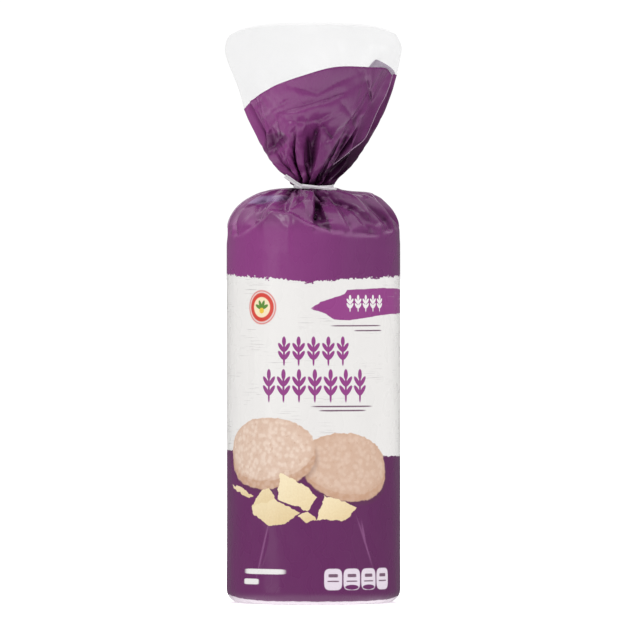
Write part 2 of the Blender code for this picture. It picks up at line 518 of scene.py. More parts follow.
def lay_out_film():
    rows = Rows()
    flat_radius = SLEEVE_RADIUS - FOOT_ROUND
    arc = FOOT_ROUND * math.pi / 2
    level = FOOT_ROUND - arc  # so that on the sleeve a row's level is its height
    steps = round(flat_radius / BASE_PITCH)
    for i in range(steps):
        radius = BASE_START + (flat_radius - BASE_START) * i / steps
        rows.add("base", level + radius - flat_radius, 0.0, gathered_row(radius, radius))
    for i in range(FOOT_STEPS):
        turn = math.pi / 2 * i / FOOT_STEPS
        radius = flat_radius + FOOT_ROUND * math.sin(turn)
        height = FOOT_ROUND * (1 - math.cos(turn))
        rows.add("foot", level + arc * i / FOOT_STEPS, height, gathered_row(radius, radius))
    straight = STACK_TOP - FOOT_ROUND
    steps = round(straight / SLEEVE_PITCH)
    for i in range(steps):
        rise = straight * i / steps
        row = gathered_row(SLEEVE_RADIUS, SLEEVE_RADIUS)
        rows.add("sleeve", FOOT_ROUND + rise, FOOT_ROUND + rise, row)

    shares, lengths = shares_by_length(shoulder_outline)
    level = STACK_TOP
    steps = round(lengths[-1] / FINE_PITCH)
    for i in range(steps):
        way = i / steps
        radius, height = shoulder_outline(np.interp(way * lengths[-1], lengths, shares))
        fullness = 1 + (SHOULDER_FULLNESS - 1) * min(1, 3 * way)
        fullness += (NECK_FULLNESS - SHOULDER_FULLNESS) * way**4
        growing = min(1.0, way * lengths[-1] / (12 * MM))
        spare = (1 + (SHOULDER_SPARE - 1) * growing, 1 + (SHOULDER_SPARE_LENGTH - 1) * growing)
        row = gathered_row(radius, radius, fullness=fullness, calm=0.25)
        rows.add("shoulder", level + way * lengths[-1], height, row, spare)

    level += lengths[-1]
    for i in range(NECK_STEPS + 1):
        rise = (NECK_HIGH - NECK_BOTTOM) * i / NECK_STEPS
        row = gathered_row(NECK_RADIUS, NECK_RADIUS, fullness=NECK_FULLNESS)
        rows.add("neck", level + rise, NECK_BOTTOM + rise, row)

    shares, lengths = shares_by_length(frill_outline)
    level += NECK_HIGH - NECK_BOTTOM
    steps = round(FRILL_LENGTH / FINE_PITCH)
    for i in range(1, steps + 1):
        way = i / steps
        share = np.interp(way * lengths[-1], lengths, shares)
        half_width, height = frill_outline(share)
        half_depth = NECK_RADIUS + (RIM_HALF_DEPTH - NECK_RADIUS) * share**0.7
        blend = min(1.0, 1.4 * share)
        blend = blend * blend * (3 - 2 * blend)
        fullness = RIM_FULLNESS + (NECK_FULLNESS - RIM_FULLNESS) * (1 - way) ** 2.2
        turn = FRILL_TURN * min(1.0, 2.5 * way)
        calm = 0.85 * min(1.0, max(0.0, way - 0.2) / 0.35)
        row = gathered_row(half_width, half_depth, blend, fullness, calm, turn)
        heights = height + RIM_CROWN * share * share * crown(column_angles + turn)
        spare = 1 + (FRILL_SPARE - 1) * min(1.0, 3 * (1 - way))
        rows.add("frill", level + way * FRILL_LENGTH, heights, row, (spare, FRILL_SPARE_LENGTH))
    return rows


rows = lay_out_film()
print(len(rows.parts), "rows of", COLUMNS, "columns")


# %% The print's edge on the frill
# Where its hump, its dip and its corner are, and how far each reaches, in degrees from the front.
HUMP_TURN, HUMP_REACH = -70, 34
DIP_TURN, DIP_REACH = 44, 36
CORNER_TURN, CORNER_REACH, CORNER_END = 128, 22, 6


def print_edge_level(turn):
    """How far up the frill the print goes, at an angle from the front as the frill is tied."""
    turn = (turn + math.pi) % (2 * math.pi) - math.pi
    past = math.degrees(turn) - CORNER_TURN
    corner = max(0.0, 1 - past / CORNER_END if past > 0 else 1 + past / CORNER_REACH)
    left = max(0.0, 1 - abs(math.degrees(turn) - HUMP_TURN) / HUMP_REACH)
    right = max(0.0, 1 - abs(math.degrees(turn) - DIP_TURN) / DIP_REACH)
    level = PRINT_LEVEL + PRINT_SLANT * math.sin(turn) + PRINT_BOW * math.cos(turn)
    hump = PRINT_HUMP * left * left * (3 - 2 * left)
    dip = PRINT_DIP * right * right * (3 - 2 * right)
    level += hump - dip
    return level + PRINT_CORNER * corner


# %% Slanted rows
def unstretched(rows):
    """The film as it would stand unpleated, with its spare film, which gives the cloth its lengths."""
    shape, height, last_radius = [], 0.0, None
    for i in range(len(rows.parts)):
        radius = rows.girths[i] * rows.spare_girth[i] / (2 * math.pi)
        if last_radius is not None:
            step = (rows.levels[i] - rows.levels[i - 1]) * rows.spare_length[i]
            slope = step * step - (radius - last_radius) ** 2
            height += math.sqrt(max(slope, (0.3 * step) ** 2))
        last_radius = radius
        x, y = radius * np.sin(column_angles), -radius * np.cos(column_angles)
        shape.append(np.column_stack([x, y, np.full(COLUMNS, height)]))
    return np.array(shape)


def slant_frill(rows, points, flat):
    """Slides the frill's rows along its columns, so that one of them runs along the print's edge."""
    levels = np.repeat(np.array(rows.levels)[:, None], COLUMNS, axis=1)
    first, last = rows.span("frill")
    below = first - 1
    ways = np.arange(first, last + 1) - below
    ways = ways / ways[-1]
    for c, angle in enumerate(column_angles):
        edge = print_edge_level(angle + FRILL_TURN)
        lower = ways / PRINT_WAY * edge
        upper = edge + (ways - PRINT_WAY) / (1 - PRINT_WAY) * (FRILL_LENGTH - edge)
        wanted = levels[below, c] + np.where(ways < PRINT_WAY, lower, upper)
        known = levels[below : last + 1, c].copy()
        for shape in (points, flat):
            column = shape[below : last + 1, c].copy()
            for axis in range(3):
                shape[first : last + 1, c, axis] = np.interp(wanted, known, column[:, axis])
        levels[first : last + 1, c] = wanted
    return levels


start_points = np.array(rows.points)
flat_points = unstretched(rows)
film_levels = slant_frill(rows, start_points, flat_points)
frill_first, frill_last = rows.span("frill")
print_edge = frill_first - 1 + round(PRINT_WAY * (frill_last - frill_first + 1))
print("print edge from", film_levels[print_edge].min(), "to", film_levels[print_edge].max())

# %% [markdown]
# ## Rolling the sheet
#
# A grid is made with Blender's own operator, given the UV map, moved to the rows' points, and
# welded along its back seam. The weld keeps the order of the other points, so the whole film can
# still be read as rows and columns, which is what the next steps rely on.


# %% From a grid to a tube
def roll_film(rows):
    """The film as one tube mesh, in rows and columns, with its flat layout in the UV map "film"."""
    count = len(rows.parts)
    bm = bmesh.new()
    bmesh.ops.create_grid(bm, x_segments=COLUMNS, y_segments=count - 1, size=0.5)
    bm.verts.ensure_lookup_table()
    layer = bm.loops.layers.uv.new("film")
    for i, vertex in enumerate(bm.verts):
        row, column = divmod(i, COLUMNS + 1)
        vertex.co = start_points[row, column % COLUMNS]
        round_bag = 2 * math.pi * SLEEVE_RADIUS * (column / COLUMNS - 0.5)
        place = (round_bag, film_levels[row, column % COLUMNS])
        for loop in vertex.link_loops:
            loop[layer].uv = place
    stride = COLUMNS + 1
    welds = {bm.verts[r * stride + COLUMNS]: bm.verts[r * stride] for r in range(count)}
    bmesh.ops.weld_verts(bm, targetmap=welds)
    mesh = bpy.data.meshes.new("film")
    bm.to_mesh(mesh)
    bm.free()
    return mesh


film_mesh = roll_film(rows)
print("film:", len(film_mesh.vertices), "points,", len(film_mesh.polygons), "faces")

# %% [markdown]
# ## Settling the film
#
# Cloth simulation turns the tidy pleats into folds. Blender's cloth is happiest on things about
# as large as a person, so the upper part of the bag is simulated at ten times its size. The rows
# in the tie are held, and they turn a little while they tighten, as fingers twist a bag shut. The
# sleeve below the stack's edge is held too. A gentle pressure keeps the shoulder puffed, and weak
# springs keep the frill's two welded sides in their place. The flat shape key tells the cloth how
# long each thread really is, and it has a little more film than the first shape uses: the spare
# film is what makes the crumples.

# %% Cloth settings
CLOTH_SCALE = 10.0
CLOTH_FRAMES = 22
CLOTH_QUALITY = 5
TIE_TWIST = math.radians(-22)
PUFF = 6.0
FRILL_PUFF = 0.1  # the share of that pressure which the frill gets
SIDE_HOLD = 0.3
HELD_BELOW = STACK_TOP - 1.2 * MM
SLEEVE_ROWS = 3  # rows of the sleeve that the cloth takes in below the shoulder


def read_points(mesh):
    points = np.empty(len(mesh.vertices) * 3)
    mesh.vertices.foreach_get("co", points)
    return points.reshape(-1, COLUMNS, 3)


def write_points(data, points):
    data.foreach_set("co", points.astype(np.float32).ravel())


def tied_shape(points, rows, first):
    """The same film with the rows in the tie turned."""
    shape = points.copy()
    begin, end = rows.span("neck")
    cos, sin = math.cos(TIE_TWIST), math.sin(TIE_TWIST)
    neck = shape[begin - first : end + 1 - first]
    x, y = neck[..., 0].copy(), neck[..., 1].copy()
    neck[..., 0], neck[..., 1] = x * cos - y * sin, x * sin + y * cos
    return shape


def hold_groups(obj, rows, first):
    """The vertex groups that say what is held, and what is puffed."""
    held = obj.vertex_groups.new(name="held")
    puffed = obj.vertex_groups.new(name="puffed")
    frill_first, frill_last = rows.span("frill")
    for i in range(first, len(rows.parts)):
        members = [(i - first) * COLUMNS + c for c in range(COLUMNS)]
        part, height = rows.parts[i], rows.points[i][0][2]
        if part == "neck" or (part in ("sleeve", "shoulder") and height < HELD_BELOW):
            held.add(members, 1.0, "REPLACE")
        if part == "shoulder":
            puffed.add(members, 1.0, "REPLACE")
        if part == "frill":
            puffed.add(members, FRILL_PUFF, "REPLACE")
            way = (i - frill_first + 1) / (frill_last - frill_first + 1)
            sideways = np.abs(np.sin(column_angles + FRILL_TURN * min(1.0, 2.5 * way)))
            hold = SIDE_HOLD * np.clip((sideways - 0.97) / 0.03, 0, 1)
            for member, weight in zip(members, hold):
                if weight > 0:
                    held.add([member], float(weight), "REPLACE")
    return held, puffed


def settle_film(mesh, rows):
    """Simulates the film above the stack's edge, and returns its points in rows and columns."""
    points = read_points(mesh)
    first = rows.span("shoulder")[0] - SLEEVE_ROWS
    upper = mesh.copy()
    bm = bmesh.new()
    bm.from_mesh(upper)
    bm.verts.ensure_lookup_table()
    bmesh.ops.delete(bm, geom=bm.verts[: first * COLUMNS], context="VERTS")
    bm.to_mesh(upper)
    bm.free()
    cloth_object = bpy.data.objects.new("settling_film", upper)
    bpy.context.scene.collection.objects.link(cloth_object)
    start = points[first:] * CLOTH_SCALE
    write_points(upper.vertices, start)
    write_points(cloth_object.shape_key_add(name="start").data, start)
    flat = cloth_object.shape_key_add(name="flat")
    write_points(flat.data, flat_points[first:] * CLOTH_SCALE)
    tied = cloth_object.shape_key_add(name="tied")
    write_points(tied.data, tied_shape(start, rows, first))
    flat.value = 0.0
    tied.value = 0.0
    tied.keyframe_insert("value", frame=1)
    tied.value = 1.0
    tied.keyframe_insert("value", frame=CLOTH_FRAMES // 2)
    held, puffed = hold_groups(cloth_object, rows, first)

    modifier = cloth_object.modifiers.new("cloth", "CLOTH")
    cloth = modifier.settings
    cloth.quality = CLOTH_QUALITY
    cloth.mass = 0.05
    cloth.air_damping = 2.0
    cloth.tension_stiffness = 15.0
    cloth.compression_stiffness = 15.0
    cloth.shear_stiffness = 5.0
    cloth.bending_stiffness = 0.1
    cloth.vertex_group_mass = held.name
    cloth.use_pressure = True
    cloth.uniform_pressure_force = PUFF
    cloth.vertex_group_pressure = puffed.name
    cloth.rest_shape_key = flat
    cloth.effector_weights.gravity = 0.0
    touching = modifier.collision_settings
    touching.use_self_collision = True
    touching.self_distance_min = 0.003
    modifier.point_cache.frame_start = 1
    modifier.point_cache.frame_end = CLOTH_FRAMES

    scene = bpy.context.scene
    for frame_number in range(1, CLOTH_FRAMES + 1):
        scene.frame_set(frame_number)
    settled = cloth_object.evaluated_get(bpy.context.evaluated_depsgraph_get())
    result = points.copy()
    result[first:] = read_points(settled.data) / CLOTH_SCALE
    bpy.data.objects.remove(cloth_object)
    scene.frame_set(1)
    return result


# %% Running the cloth
film_points = read_points(film_mesh)
film_points = settle_film(film_mesh, rows)
write_points(film_mesh.vertices, film_points)
print("settled film spans", film_points.min(axis=(0, 1)), film_points.max(axis=(0, 1)))

# %% [markdown]
# ## Truing up
#
# The cloth pulls in a little where it folds, so the settled film is smaller than the real bag in
# some places and its outline has dents. A maker would pull such film back into shape by hand. The
# same is done here with smooth factors: the shoulder is pushed out to its superellipse, the
# frill's sides to their curve, and the rim to its crown, while all the folds stay.


# %% Outline factors
def outline_factors(places, reach, share=92, steps=24):
    """How far points lie from the outline's middle, smoothly over their place from 0 to 1."""
    bins = np.linspace(0, 1, steps + 1)
    centres = (bins[1:] + bins[:-1]) / 2
    far = []
    for low, high in zip(bins[:-1], bins[1:]):
        found = reach[(places >= low) & (places < high)]
        far.append(np.percentile(found, share) if len(found) else np.nan)
    far = np.array(far)
    known = ~np.isnan(far)
    far = np.interp(centres, centres[known], far[known])
    padded = np.pad(far, 2, mode="edge")
    smooth = np.convolve(padded, [0.1, 0.2, 0.4, 0.2, 0.1], mode="valid")
    return np.interp(places, centres, smooth)


def true_shoulder(points, rows):
    first, last = rows.span("shoulder")
    part = points[first - 1 : last + 1]
    radius = np.hypot(part[..., 0], part[..., 1])
    across = np.clip((radius - NECK_RADIUS) / (SLEEVE_RADIUS - NECK_RADIUS), 1e-6, None)
    up = np.clip((part[..., 2] - STACK_TOP) / (NECK_BOTTOM - STACK_TOP), 1e-6, None)
    reach = (across**SHOULDER_SQUARENESS + up**SHOULDER_SQUARENESS) ** (1 / SHOULDER_SQUARENESS)
    places = np.arctan2(up, across) / (math.pi / 2)
    factor = 1 / outline_factors(places, reach)
    share = np.clip(np.minimum(places / 0.04, (1 - places) / 0.04), 0, 1)
    factor = 1 + (factor - 1) * share
    new_radius = NECK_RADIUS + (radius - NECK_RADIUS) * factor
    part[..., :2] *= (new_radius / radius)[..., None]
    part[..., 2] = STACK_TOP + (part[..., 2] - STACK_TOP) * factor
    outline = np.array([shoulder_outline(share) for share in np.linspace(0, 0.93, 60)])
    true_sides(part, outline[:, 1], outline[:, 0], outline[:, 0], steps=14)


def true_sides(part, heights, left, right, share=99.5, steps=36):
    """Stretches rows of film sideways, so that from the front they are as wide as their outline."""
    low, high = heights[0], heights[-1]
    for side, widths in ((-1, left), (1, right)):
        on_side = part[..., 0] * side > 0
        chosen = part[on_side]
        place = np.clip((chosen[:, 2] - low) / (high - low), 0, 0.9999)
        wanted = np.interp(chosen[:, 2], heights, widths)
        factor = 1 / outline_factors(place, np.abs(chosen[:, 0]) / wanted, share, steps)
        part[on_side, 0] *= 1 + (factor - 1) * np.clip(place / 0.04, 0, 1)


def rim_height(x):
    """The rim's outline from the front."""
    across = np.clip(np.abs(x) / RIM_HALF_WIDTH, 0, 1)
    crown_share = (1 - across**CROWN_SQUARENESS) ** (1 / CROWN_SQUARENESS)
    return RIM_TOP - RIM_CROWN - 0.4 * MM + RIM_CROWN * crown_share


# The frill leans to the right a little: its reach to each side at some heights, in millimetres.
FRILL_HEIGHTS = (223.4, 227.2, 233.8, 247, 260.5, 273.7, 281.7, 290, 296)
FRILL_LEFT = (9.8, 15.2, 22.1, 29.8, 36.3, 39.8, 43.0, 46.4, 47.5)
FRILL_RIGHT = (10.2, 14.8, 21.1, 30.1, 37.4, 42.4, 44.5, 46.4, 47.2)


def calm_clear(part, ways):
    """The clear film above the print lies smoother than the cloth leaves it."""
    amount = np.clip((ways - PRINT_WAY) / 0.12, 0, 1)[:, None, None]
    for _ in range(40):
        part += amount * ((np.roll(part, 1, axis=1) + np.roll(part, -1, axis=1)) / 2 - part) / 2


def true_frill(points, rows):
    first, last = rows.span("frill")
    part = points[first : last + 1]
    ways = (np.arange(first, last + 1) - first + 1) / (last - first + 1)
    calm_clear(part, ways)
    heights = np.linspace(NECK_HIGH, RIM_TOP - 5 * MM, 80)
    corner = np.clip((heights - RIM_TOP + RIM_CROWN) / RIM_CROWN, 0, 1)
    corner = (1 - corner**CROWN_SQUARENESS) ** (1 / CROWN_SQUARENESS)
    sides = []
    for reach in (FRILL_LEFT, FRILL_RIGHT):
        sides.append(np.interp(heights / MM, FRILL_HEIGHTS, reach) * MM * corner)
    for _ in range(2):
        lift = rim_height(part[-1, :, 0]) - part[-1, :, 2]
        part[..., 2] += lift[None, :] * (ways**3)[:, None]
        true_sides(part, heights, *sides)


def swell_sleeve(points, rows):
    """The taut film isn't a perfect cylinder: it lies in soft flats and swells over the stack."""
    first, last = rows.span("sleeve")[0], rows.span("shoulder")[1]
    part = points[first : last + 1]
    angle, height = column_angles[None, :], part[..., 2] * PER_METRE
    waves = np.sin(5 * angle + 0.9 + 0.9 * np.sin(height / 37))
    waves += np.sin(8 * angle + 2.1 - 0.8 * np.sin(height / 29))
    waves += 0.7 * np.sin(3 * angle - 0.7 + height / 90)
    ends = np.clip((height - 7) / 20, 0, 1) * np.clip((214 - height) / 22, 0, 1)
    front = 0.35 + 0.65 * np.abs(np.cos(angle))
    part[..., :2] *= (1 - 0.0034 * (1.4 + waves) * ends * front)[..., None]


# %% Pulling the film back into shape
true_shoulder(film_points, rows)
swell_sleeve(film_points, rows)
true_frill(film_points, rows)
write_points(film_mesh.vertices, film_points)
print("trued film spans", film_points.min(axis=(0, 1)), film_points.max(axis=(0, 1)))

# %% [markdown]
# ## Cutting the film into pieces
#
# The settled film is shown as three pieces. The sleeve runs from the base to the tie and is
# closed. Above the tie, the frill is a thin shell that is seen from both sides: printed film
# first, and then clear film up to the rim. Each piece is smoothed by one level of subdivision
# before its ends are closed, because a smooth surface round a point where hundreds of edges meet
# takes very long to work out.


# %% Rows to a piece
def baked(piece):
    """Puts the result of a piece's modifiers into its mesh."""
    graph = bpy.context.evaluated_depsgraph_get()
    piece.data = bpy.data.meshes.new_from_object(piece.evaluated_get(graph), depsgraph=graph)
    piece.modifiers.clear()


def film_piece(name, first, last, wall=0.0):
    """The film between two rows as an object. Without a wall it is closed by a cap at each end."""
    bm = bmesh.new()
    bm.from_mesh(film_mesh)
    bm.verts.ensure_lookup_table()
    kept = set(bm.verts[first * COLUMNS : (last + 1) * COLUMNS])
    bmesh.ops.delete(bm, geom=[v for v in bm.verts if v not in kept], context="VERTS")
    mesh = bpy.data.meshes.new(name)
    bm.to_mesh(mesh)
    bm.free()
    piece = bpy.data.objects.new(name, mesh)
    bpy.context.scene.collection.objects.link(piece)
    smooth = piece.modifiers.new("smooth", "SUBSURF")
    smooth.levels = smooth.render_levels = 1
    baked(piece)
    if not wall:
        bm = bmesh.new()
        bm.from_mesh(piece.data)
        bmesh.ops.holes_fill(bm, edges=[e for e in bm.edges if e.is_boundary], sides=0)
        bm.to_mesh(piece.data)
        bm.free()
    piece.data.shade_smooth()
    if wall:
        shell = piece.modifiers.new("wall", "SOLIDIFY")
        shell.thickness = wall
        shell.offset = -1.0
        shell.use_even_offset = False
        shell.material_offset = 1
        shell.material_offset_rim = 0
    return piece


neck_middle = sum(rows.span("neck")) // 2
FILM_WALL = 0.15 * MM
sleeve = film_piece("printed_sleeve", 0, neck_middle)
frill = film_piece("printed_frill", neck_middle, print_edge, wall=FILM_WALL)
clear = film_piece("clear_frill", print_edge, frill_last, wall=FILM_WALL)
for piece in (sleeve, frill, clear):
    print(piece.name, len(piece.data.polygons), "faces")

# %% [markdown]
# ## Pressing in the creases
#
# The cloth gives the folds of the whole bag, but every bag also has a few creases of its own,
# where fingers pinched it. They are pressed in afterwards, as a sculptor would, on the smoothed
# meshes. A crease is a line of a few points seen from the front, in millimetres across and up.
# The film goes in along it by a depth that dies away on each side of the line over a width of
# its own. A narrow side beside a wide one gives the sharp edge of a fold. A negative depth
# raises a ridge.


# %% One crease
TAPER = 0.18  # the share of a crease's length over which each end dies away
FRONT = 9 * MM  # how far in front of the bag's middle a crease has its whole depth
TURN_IN = 203  # from this height the shoulder leans in, in millimetres
TURN_RUN = 16  # and it leans all it does after this much more
LEAN = 0.75  # there a crease goes down by this share of its depth


def press(points, line, depth, left, right):
    """Moves points near a line inwards. left and right are the widths on the line's two sides."""
    across, up = points[:, 0] / MM, points[:, 2] / MM
    nearest = np.full(len(points), 1e9)
    side = np.ones(len(points))
    along = np.zeros(len(points))
    lengths = [math.dist(a, b) for a, b in zip(line[:-1], line[1:])]
    total, done = sum(lengths), 0.0
    for (x0, z0), (x1, z1), length in zip(line[:-1], line[1:], lengths):
        share = ((across - x0) * (x1 - x0) + (up - z0) * (z1 - z0)) / length**2
        share = np.clip(share, 0, 1)
        gap = np.hypot(across - x0 - share * (x1 - x0), up - z0 - share * (z1 - z0))
        turn = (x1 - x0) * (up - z0) - (z1 - z0) * (across - x0)
        closer = gap < nearest
        nearest = np.where(closer, gap, nearest)
        side = np.where(closer, np.sign(turn), side)
        along = np.where(closer, (done + share * length) / total, along)
        done += length
    width = np.where(side > 0, left, right)
    taper = np.clip(np.minimum(along, 1 - along) / TAPER, 0.25, 1)
    front = np.clip(-points[:, 1] / FRONT, 0, 1)
    amount = depth * MM * np.exp(-nearest / width) * taper * front
    drop = np.clip((up - TURN_IN) / TURN_RUN, 0, 1) * (up < NECK_BOTTOM / MM)
    points[:, 1] += amount * np.where(drop > 0, np.sqrt(1 - (LEAN * drop) ** 2), 1)
    points[:, 2] -= amount * LEAN * drop


# %% All the creases
# Each one is its line, its depth, and its widths to the left and right going along the line.
FRILL_CREASES = (
    ([(-24, 260), (-6, 264.5), (7.5, 268.5), (20, 273.5)], 3.0, 5.0, 1.2),
    ([(-16, 258), (-6, 256.0), (2.8, 257.5), (12, 262)], 1.8, 3.0, 1.4),
    ([(2.8, 257), (0.5, 246), (-0.9, 232)], 6.0, 1.0, 3.6),
    ([(-3, 250), (-2, 240), (-1, 230)], 4.2, 1.4, 0.9),
    ([(4, 256), (8, 251), (10.8, 247)], 3.2, 1.0, 3.2),
    ([(18, 251), (13, 241), (7, 231)], 5.5, 2.6, 1.0),
    ([(-13, 241), (-9, 233), (-5.5, 227)], 3.6, 2.2, 0.9),
    ([(27.5, 282), (30, 271), (31.7, 260)], 3.6, 1.2, 3.4),
    ([(36, 265), (27.5, 247), (17.5, 238.5), (6, 228)], 6.5, 5.0, 0.6),
    ([(-30, 246), (-24, 252), (-18, 259.5)], -1.3, 1.2, 0.9),
    ([(-26.5, 239.5), (-20, 244.5), (-14.5, 250.5)], 5.0, 4.5, 1.0),
    ([(-34, 262), (-27, 269)], 1.8, 2.5, 0.9),
    ([(-14, 276), (2, 271.5), (12, 277), (22, 281)], 1.8, 3.4, 1.5),
    ([(-31, 254), (-22, 263), (-10, 270)], 1.5, 1.2, 3.4),
    ([(14, 268), (20, 260), (22, 250)], 2.0, 3.0, 1.2),
    ([(-30, 238), (-18, 233), (-8, 229)], 2.4, 3.5, 1.2),
)
# Under this line the stack's edge pushes the film out into an upright panel.
HIP_LINE = [
    (-46.5, 195.6), (-39, 196.2), (-32.5, 200.5), (-25.8, 206.2), (-22.5, 210.2), (-11.2, 208.6),
    (-3.2, 203.3), (10, 198.6), (21.7, 196.9), (34, 196), (44, 200),
]
SHOULDER_CREASES = (
    (HIP_LINE, 2.4, 4.5, 0.4),
    ([(0.8, 220), (1.0, 212), (0.2, 202.5)], 10.0, 3.6, 0.5),
    ([(2.2, 216), (3.4, 208), (4.6, 201.5)], 7.0, 3.6, 2.4),
    ([(3, 214), (6.5, 206), (10, 199.5)], -1.2, 0.8, 0.8),
    ([(8, 218), (14, 211), (20.7, 197.3)], 3.8, 3.6, 0.6),
    ([(3, 219), (7.4, 217), (18, 210.5), (24, 211)], 2.0, 0.7, 2.4),
    ([(-3, 219), (-8, 214), (-13, 209.5)], 2.0, 0.7, 2.4),
    ([(-6, 220), (-14, 216), (-20, 211)], 1.6, 0.7, 2.2),
    ([(-40, 210), (-28, 214), (-12, 216)], 1.6, 0.8, 3.4),
    ([(26, 205), (33, 202), (40, 205)], 1.3, 2.6, 1.0),
    ([(-13, 205), (-12.6, 195), (-12.3, 183)], -0.9, 0.7, 9.0),
)
SLEEVE_CREASES = (
    ([(-24.5, 40), (-26.5, 28), (-29.5, 17)], -0.9, 0.6, 1.5),
    ([(24.5, 43), (28, 29), (31.5, 22)], -0.9, 1.5, 0.6),
    ([(-36, 48), (-32, 38), (-35, 30)], 0.8, 3.0, 1.2),
    ([(46, 192), (43, 184), (40.5, 176)], -0.8, 1.0, 2.0),
    ([(-40, 172), (-35, 180), (-33, 190)], 0.7, 2.0, 4.0),
    ([(17, 150), (14, 130), (16, 108)], 0.7, 2.5, 5.0),
    ([(-34, 150), (-31, 130), (-32, 108)], -0.6, 1.2, 3.0),
    ([(22, 186), (25, 178), (24, 160)], 0.6, 5.0, 2.0),
)
PANEL_RADIUS = 46.2  # of the upright panel's foot, in millimetres


def raise_hip(points):
    """Below the hip line the film stands straight up from the sleeve, as a panel."""
    across, up = points[:, 0] / MM, points[:, 2] / MM
    top = np.interp(across, *np.array(HIP_LINE).T)
    share = np.clip((top - up) / 1.4 + 0.5, 0, 1) * np.clip((up - 184) / 6, 0, 1)
    share *= np.clip(-points[:, 1] / (10 * MM), 0, 1)
    radius = np.hypot(points[:, 0], points[:, 1])
    panel = (PANEL_RADIUS - 0.03 * np.clip(up - 197, 0, None) ** 1.5) * MM
    points[:, :2] *= (1 + share * (panel / np.clip(radius, MM, None) - 1))[:, None]


def crease_front(mesh, creases, hip=False):
    """Presses creases into the front of a mesh."""
    points = np.empty(len(mesh.vertices) * 3)
    mesh.vertices.foreach_get("co", points)
    points = points.reshape(-1, 3)
    if hip:
        raise_hip(points)
    for crease in creases:
        press(points, *crease)
    mesh.vertices.foreach_set("co", points.astype(np.float32).ravel())
    mesh.update()


for piece in (frill, clear):
    crease_front(piece.data, FRILL_CREASES)
crease_front(sleeve.data, SHOULDER_CREASES + SLEEVE_CREASES, hip=True)
print(len(FRILL_CREASES) + len(SHOULDER_CREASES) + len(SLEEVE_CREASES), "creases")

# %% [markdown]
# ## Side welds
#
# The bag is welded along its two sides, which leaves a thin bead. On the sleeve it lies right at
# the sides. The frill turned a little when it was tied, so there one weld runs down the front
# right. Each bead is a thin round line along one column of the film.


# %% Weld beads
# The line of the right weld on the frill, in millimetres across and up.
WELD_FOLD = [
    (-1.2, 225.2), (18.1, 239.8), (27.4, 247.1), (34.2, 263.1), (38.8, 271.5),
    (41.4, 279.0), (42.4, 284.0),
]
BEAD_RADIUS = 0.24 * MM
BEAD_LIFT = 0.12 * MM  # how far the bead's middle lies outside the film


def front_place(row, wanted):
    """Where a row of the film crosses a distance across, on the front."""
    found = None
    for a, b in zip(row, np.roll(row, -1, axis=0)):
        if (a[0] - wanted) * (b[0] - wanted) < 0:
            place = a + (b - a) * (wanted - a[0]) / (b[0] - a[0])
            if found is None or place[1] < found[1]:
                found = place
    return found


def weld_bead(name, column, fold=None):
    """A bead along one column of the film, from the shoulder to the print's edge, or along a fold."""
    first = rows.span("shoulder")[0]
    tied = frill_first - first  # where the path passes from the shoulder to the frill
    path = film_points[first : print_edge + 1, column].copy()
    if fold:
        across, up = np.array(fold).T * MM
        for i in range(tied + 6, len(path)):
            row = film_points[first + i]
            for _ in range(4):
                found = front_place(row, np.interp(path[i, 2], up, across))
                if found is not None:
                    path[i] = found
    for _ in range(3):
        path[1:-1] = path[1:-1] / 2 + (path[2:] + path[:-2]) / 4
    upper, lower = path[tied:], path[:tied]
    for crease in FRILL_CREASES:
        press(upper, *crease)
    for crease in SHOULDER_CREASES:
        press(lower, *crease)
    outward = path * [1, 1, 0]
    outward /= np.linalg.norm(outward, axis=1)[:, None]
    path += outward * BEAD_LIFT
    curve = bpy.data.curves.new(name, "CURVE")
    curve.dimensions = "3D"
    spline = curve.splines.new("POLY")
    spline.points.add(len(path) - 1)
    for point, place in zip(spline.points, path):
        point.co = (*place, 1.0)
    curve.bevel_depth = BEAD_RADIUS
    curve.bevel_resolution = 2
    curve.use_fill_caps = True
    bead = bpy.data.objects.new(name, curve)
    bpy.context.scene.collection.objects.link(bead)
    return bead


beads = [
    weld_bead("weld_left", COLUMNS // 4),
    weld_bead("weld_right", 3 * COLUMNS // 4, WELD_FOLD),
]
print(len(beads), "weld beads")

# %% [markdown]
# ## The twist tie
#
# A twist tie is a thin wire between two strips of plastic. It goes once round the neck, is twisted
# on itself at the front left, and its two ends stick out. Each stretch of it is a narrow grid that
# is bent along a smooth path, with a low ridge over the wire, and a Solidify modifier gives it
# its thickness.


# %% Ribbon along a path
RIBBON_STRIPS = 8  # strips across its width
WIRE_RIDGE = 0.28 * MM  # how far the wire raises the ribbon's middle
WIRE_SHARE = 0.22  # how wide that ridge is, as a share of half the width


def smooth_path(knots, count):
    """Evenly spread points on a smooth curve through some knots."""
    knots = np.array(knots, dtype=float)
    ends = np.vstack([2 * knots[0] - knots[1], knots, 2 * knots[-1] - knots[-2]])
    points = []
    for i in range(len(knots) - 1):
        a, b, c, d = ends[i : i + 4]
        for t in np.linspace(0, 1, 12, endpoint=False):
            second = (2 * a - 5 * b + 4 * c - d) * t**2
            third = (3 * b - a - 3 * c + d) * t**3
            points.append(0.5 * (2 * b + (c - a) * t + second + third))
    points = np.array(points + [knots[-1]])
    run = np.concatenate([[0], np.cumsum(np.linalg.norm(np.diff(points, axis=0), axis=1))])
    even = np.linspace(0, run[-1], count)
    return np.stack([np.interp(even, run, points[:, axis]) for axis in range(points.shape[1])], axis=1)


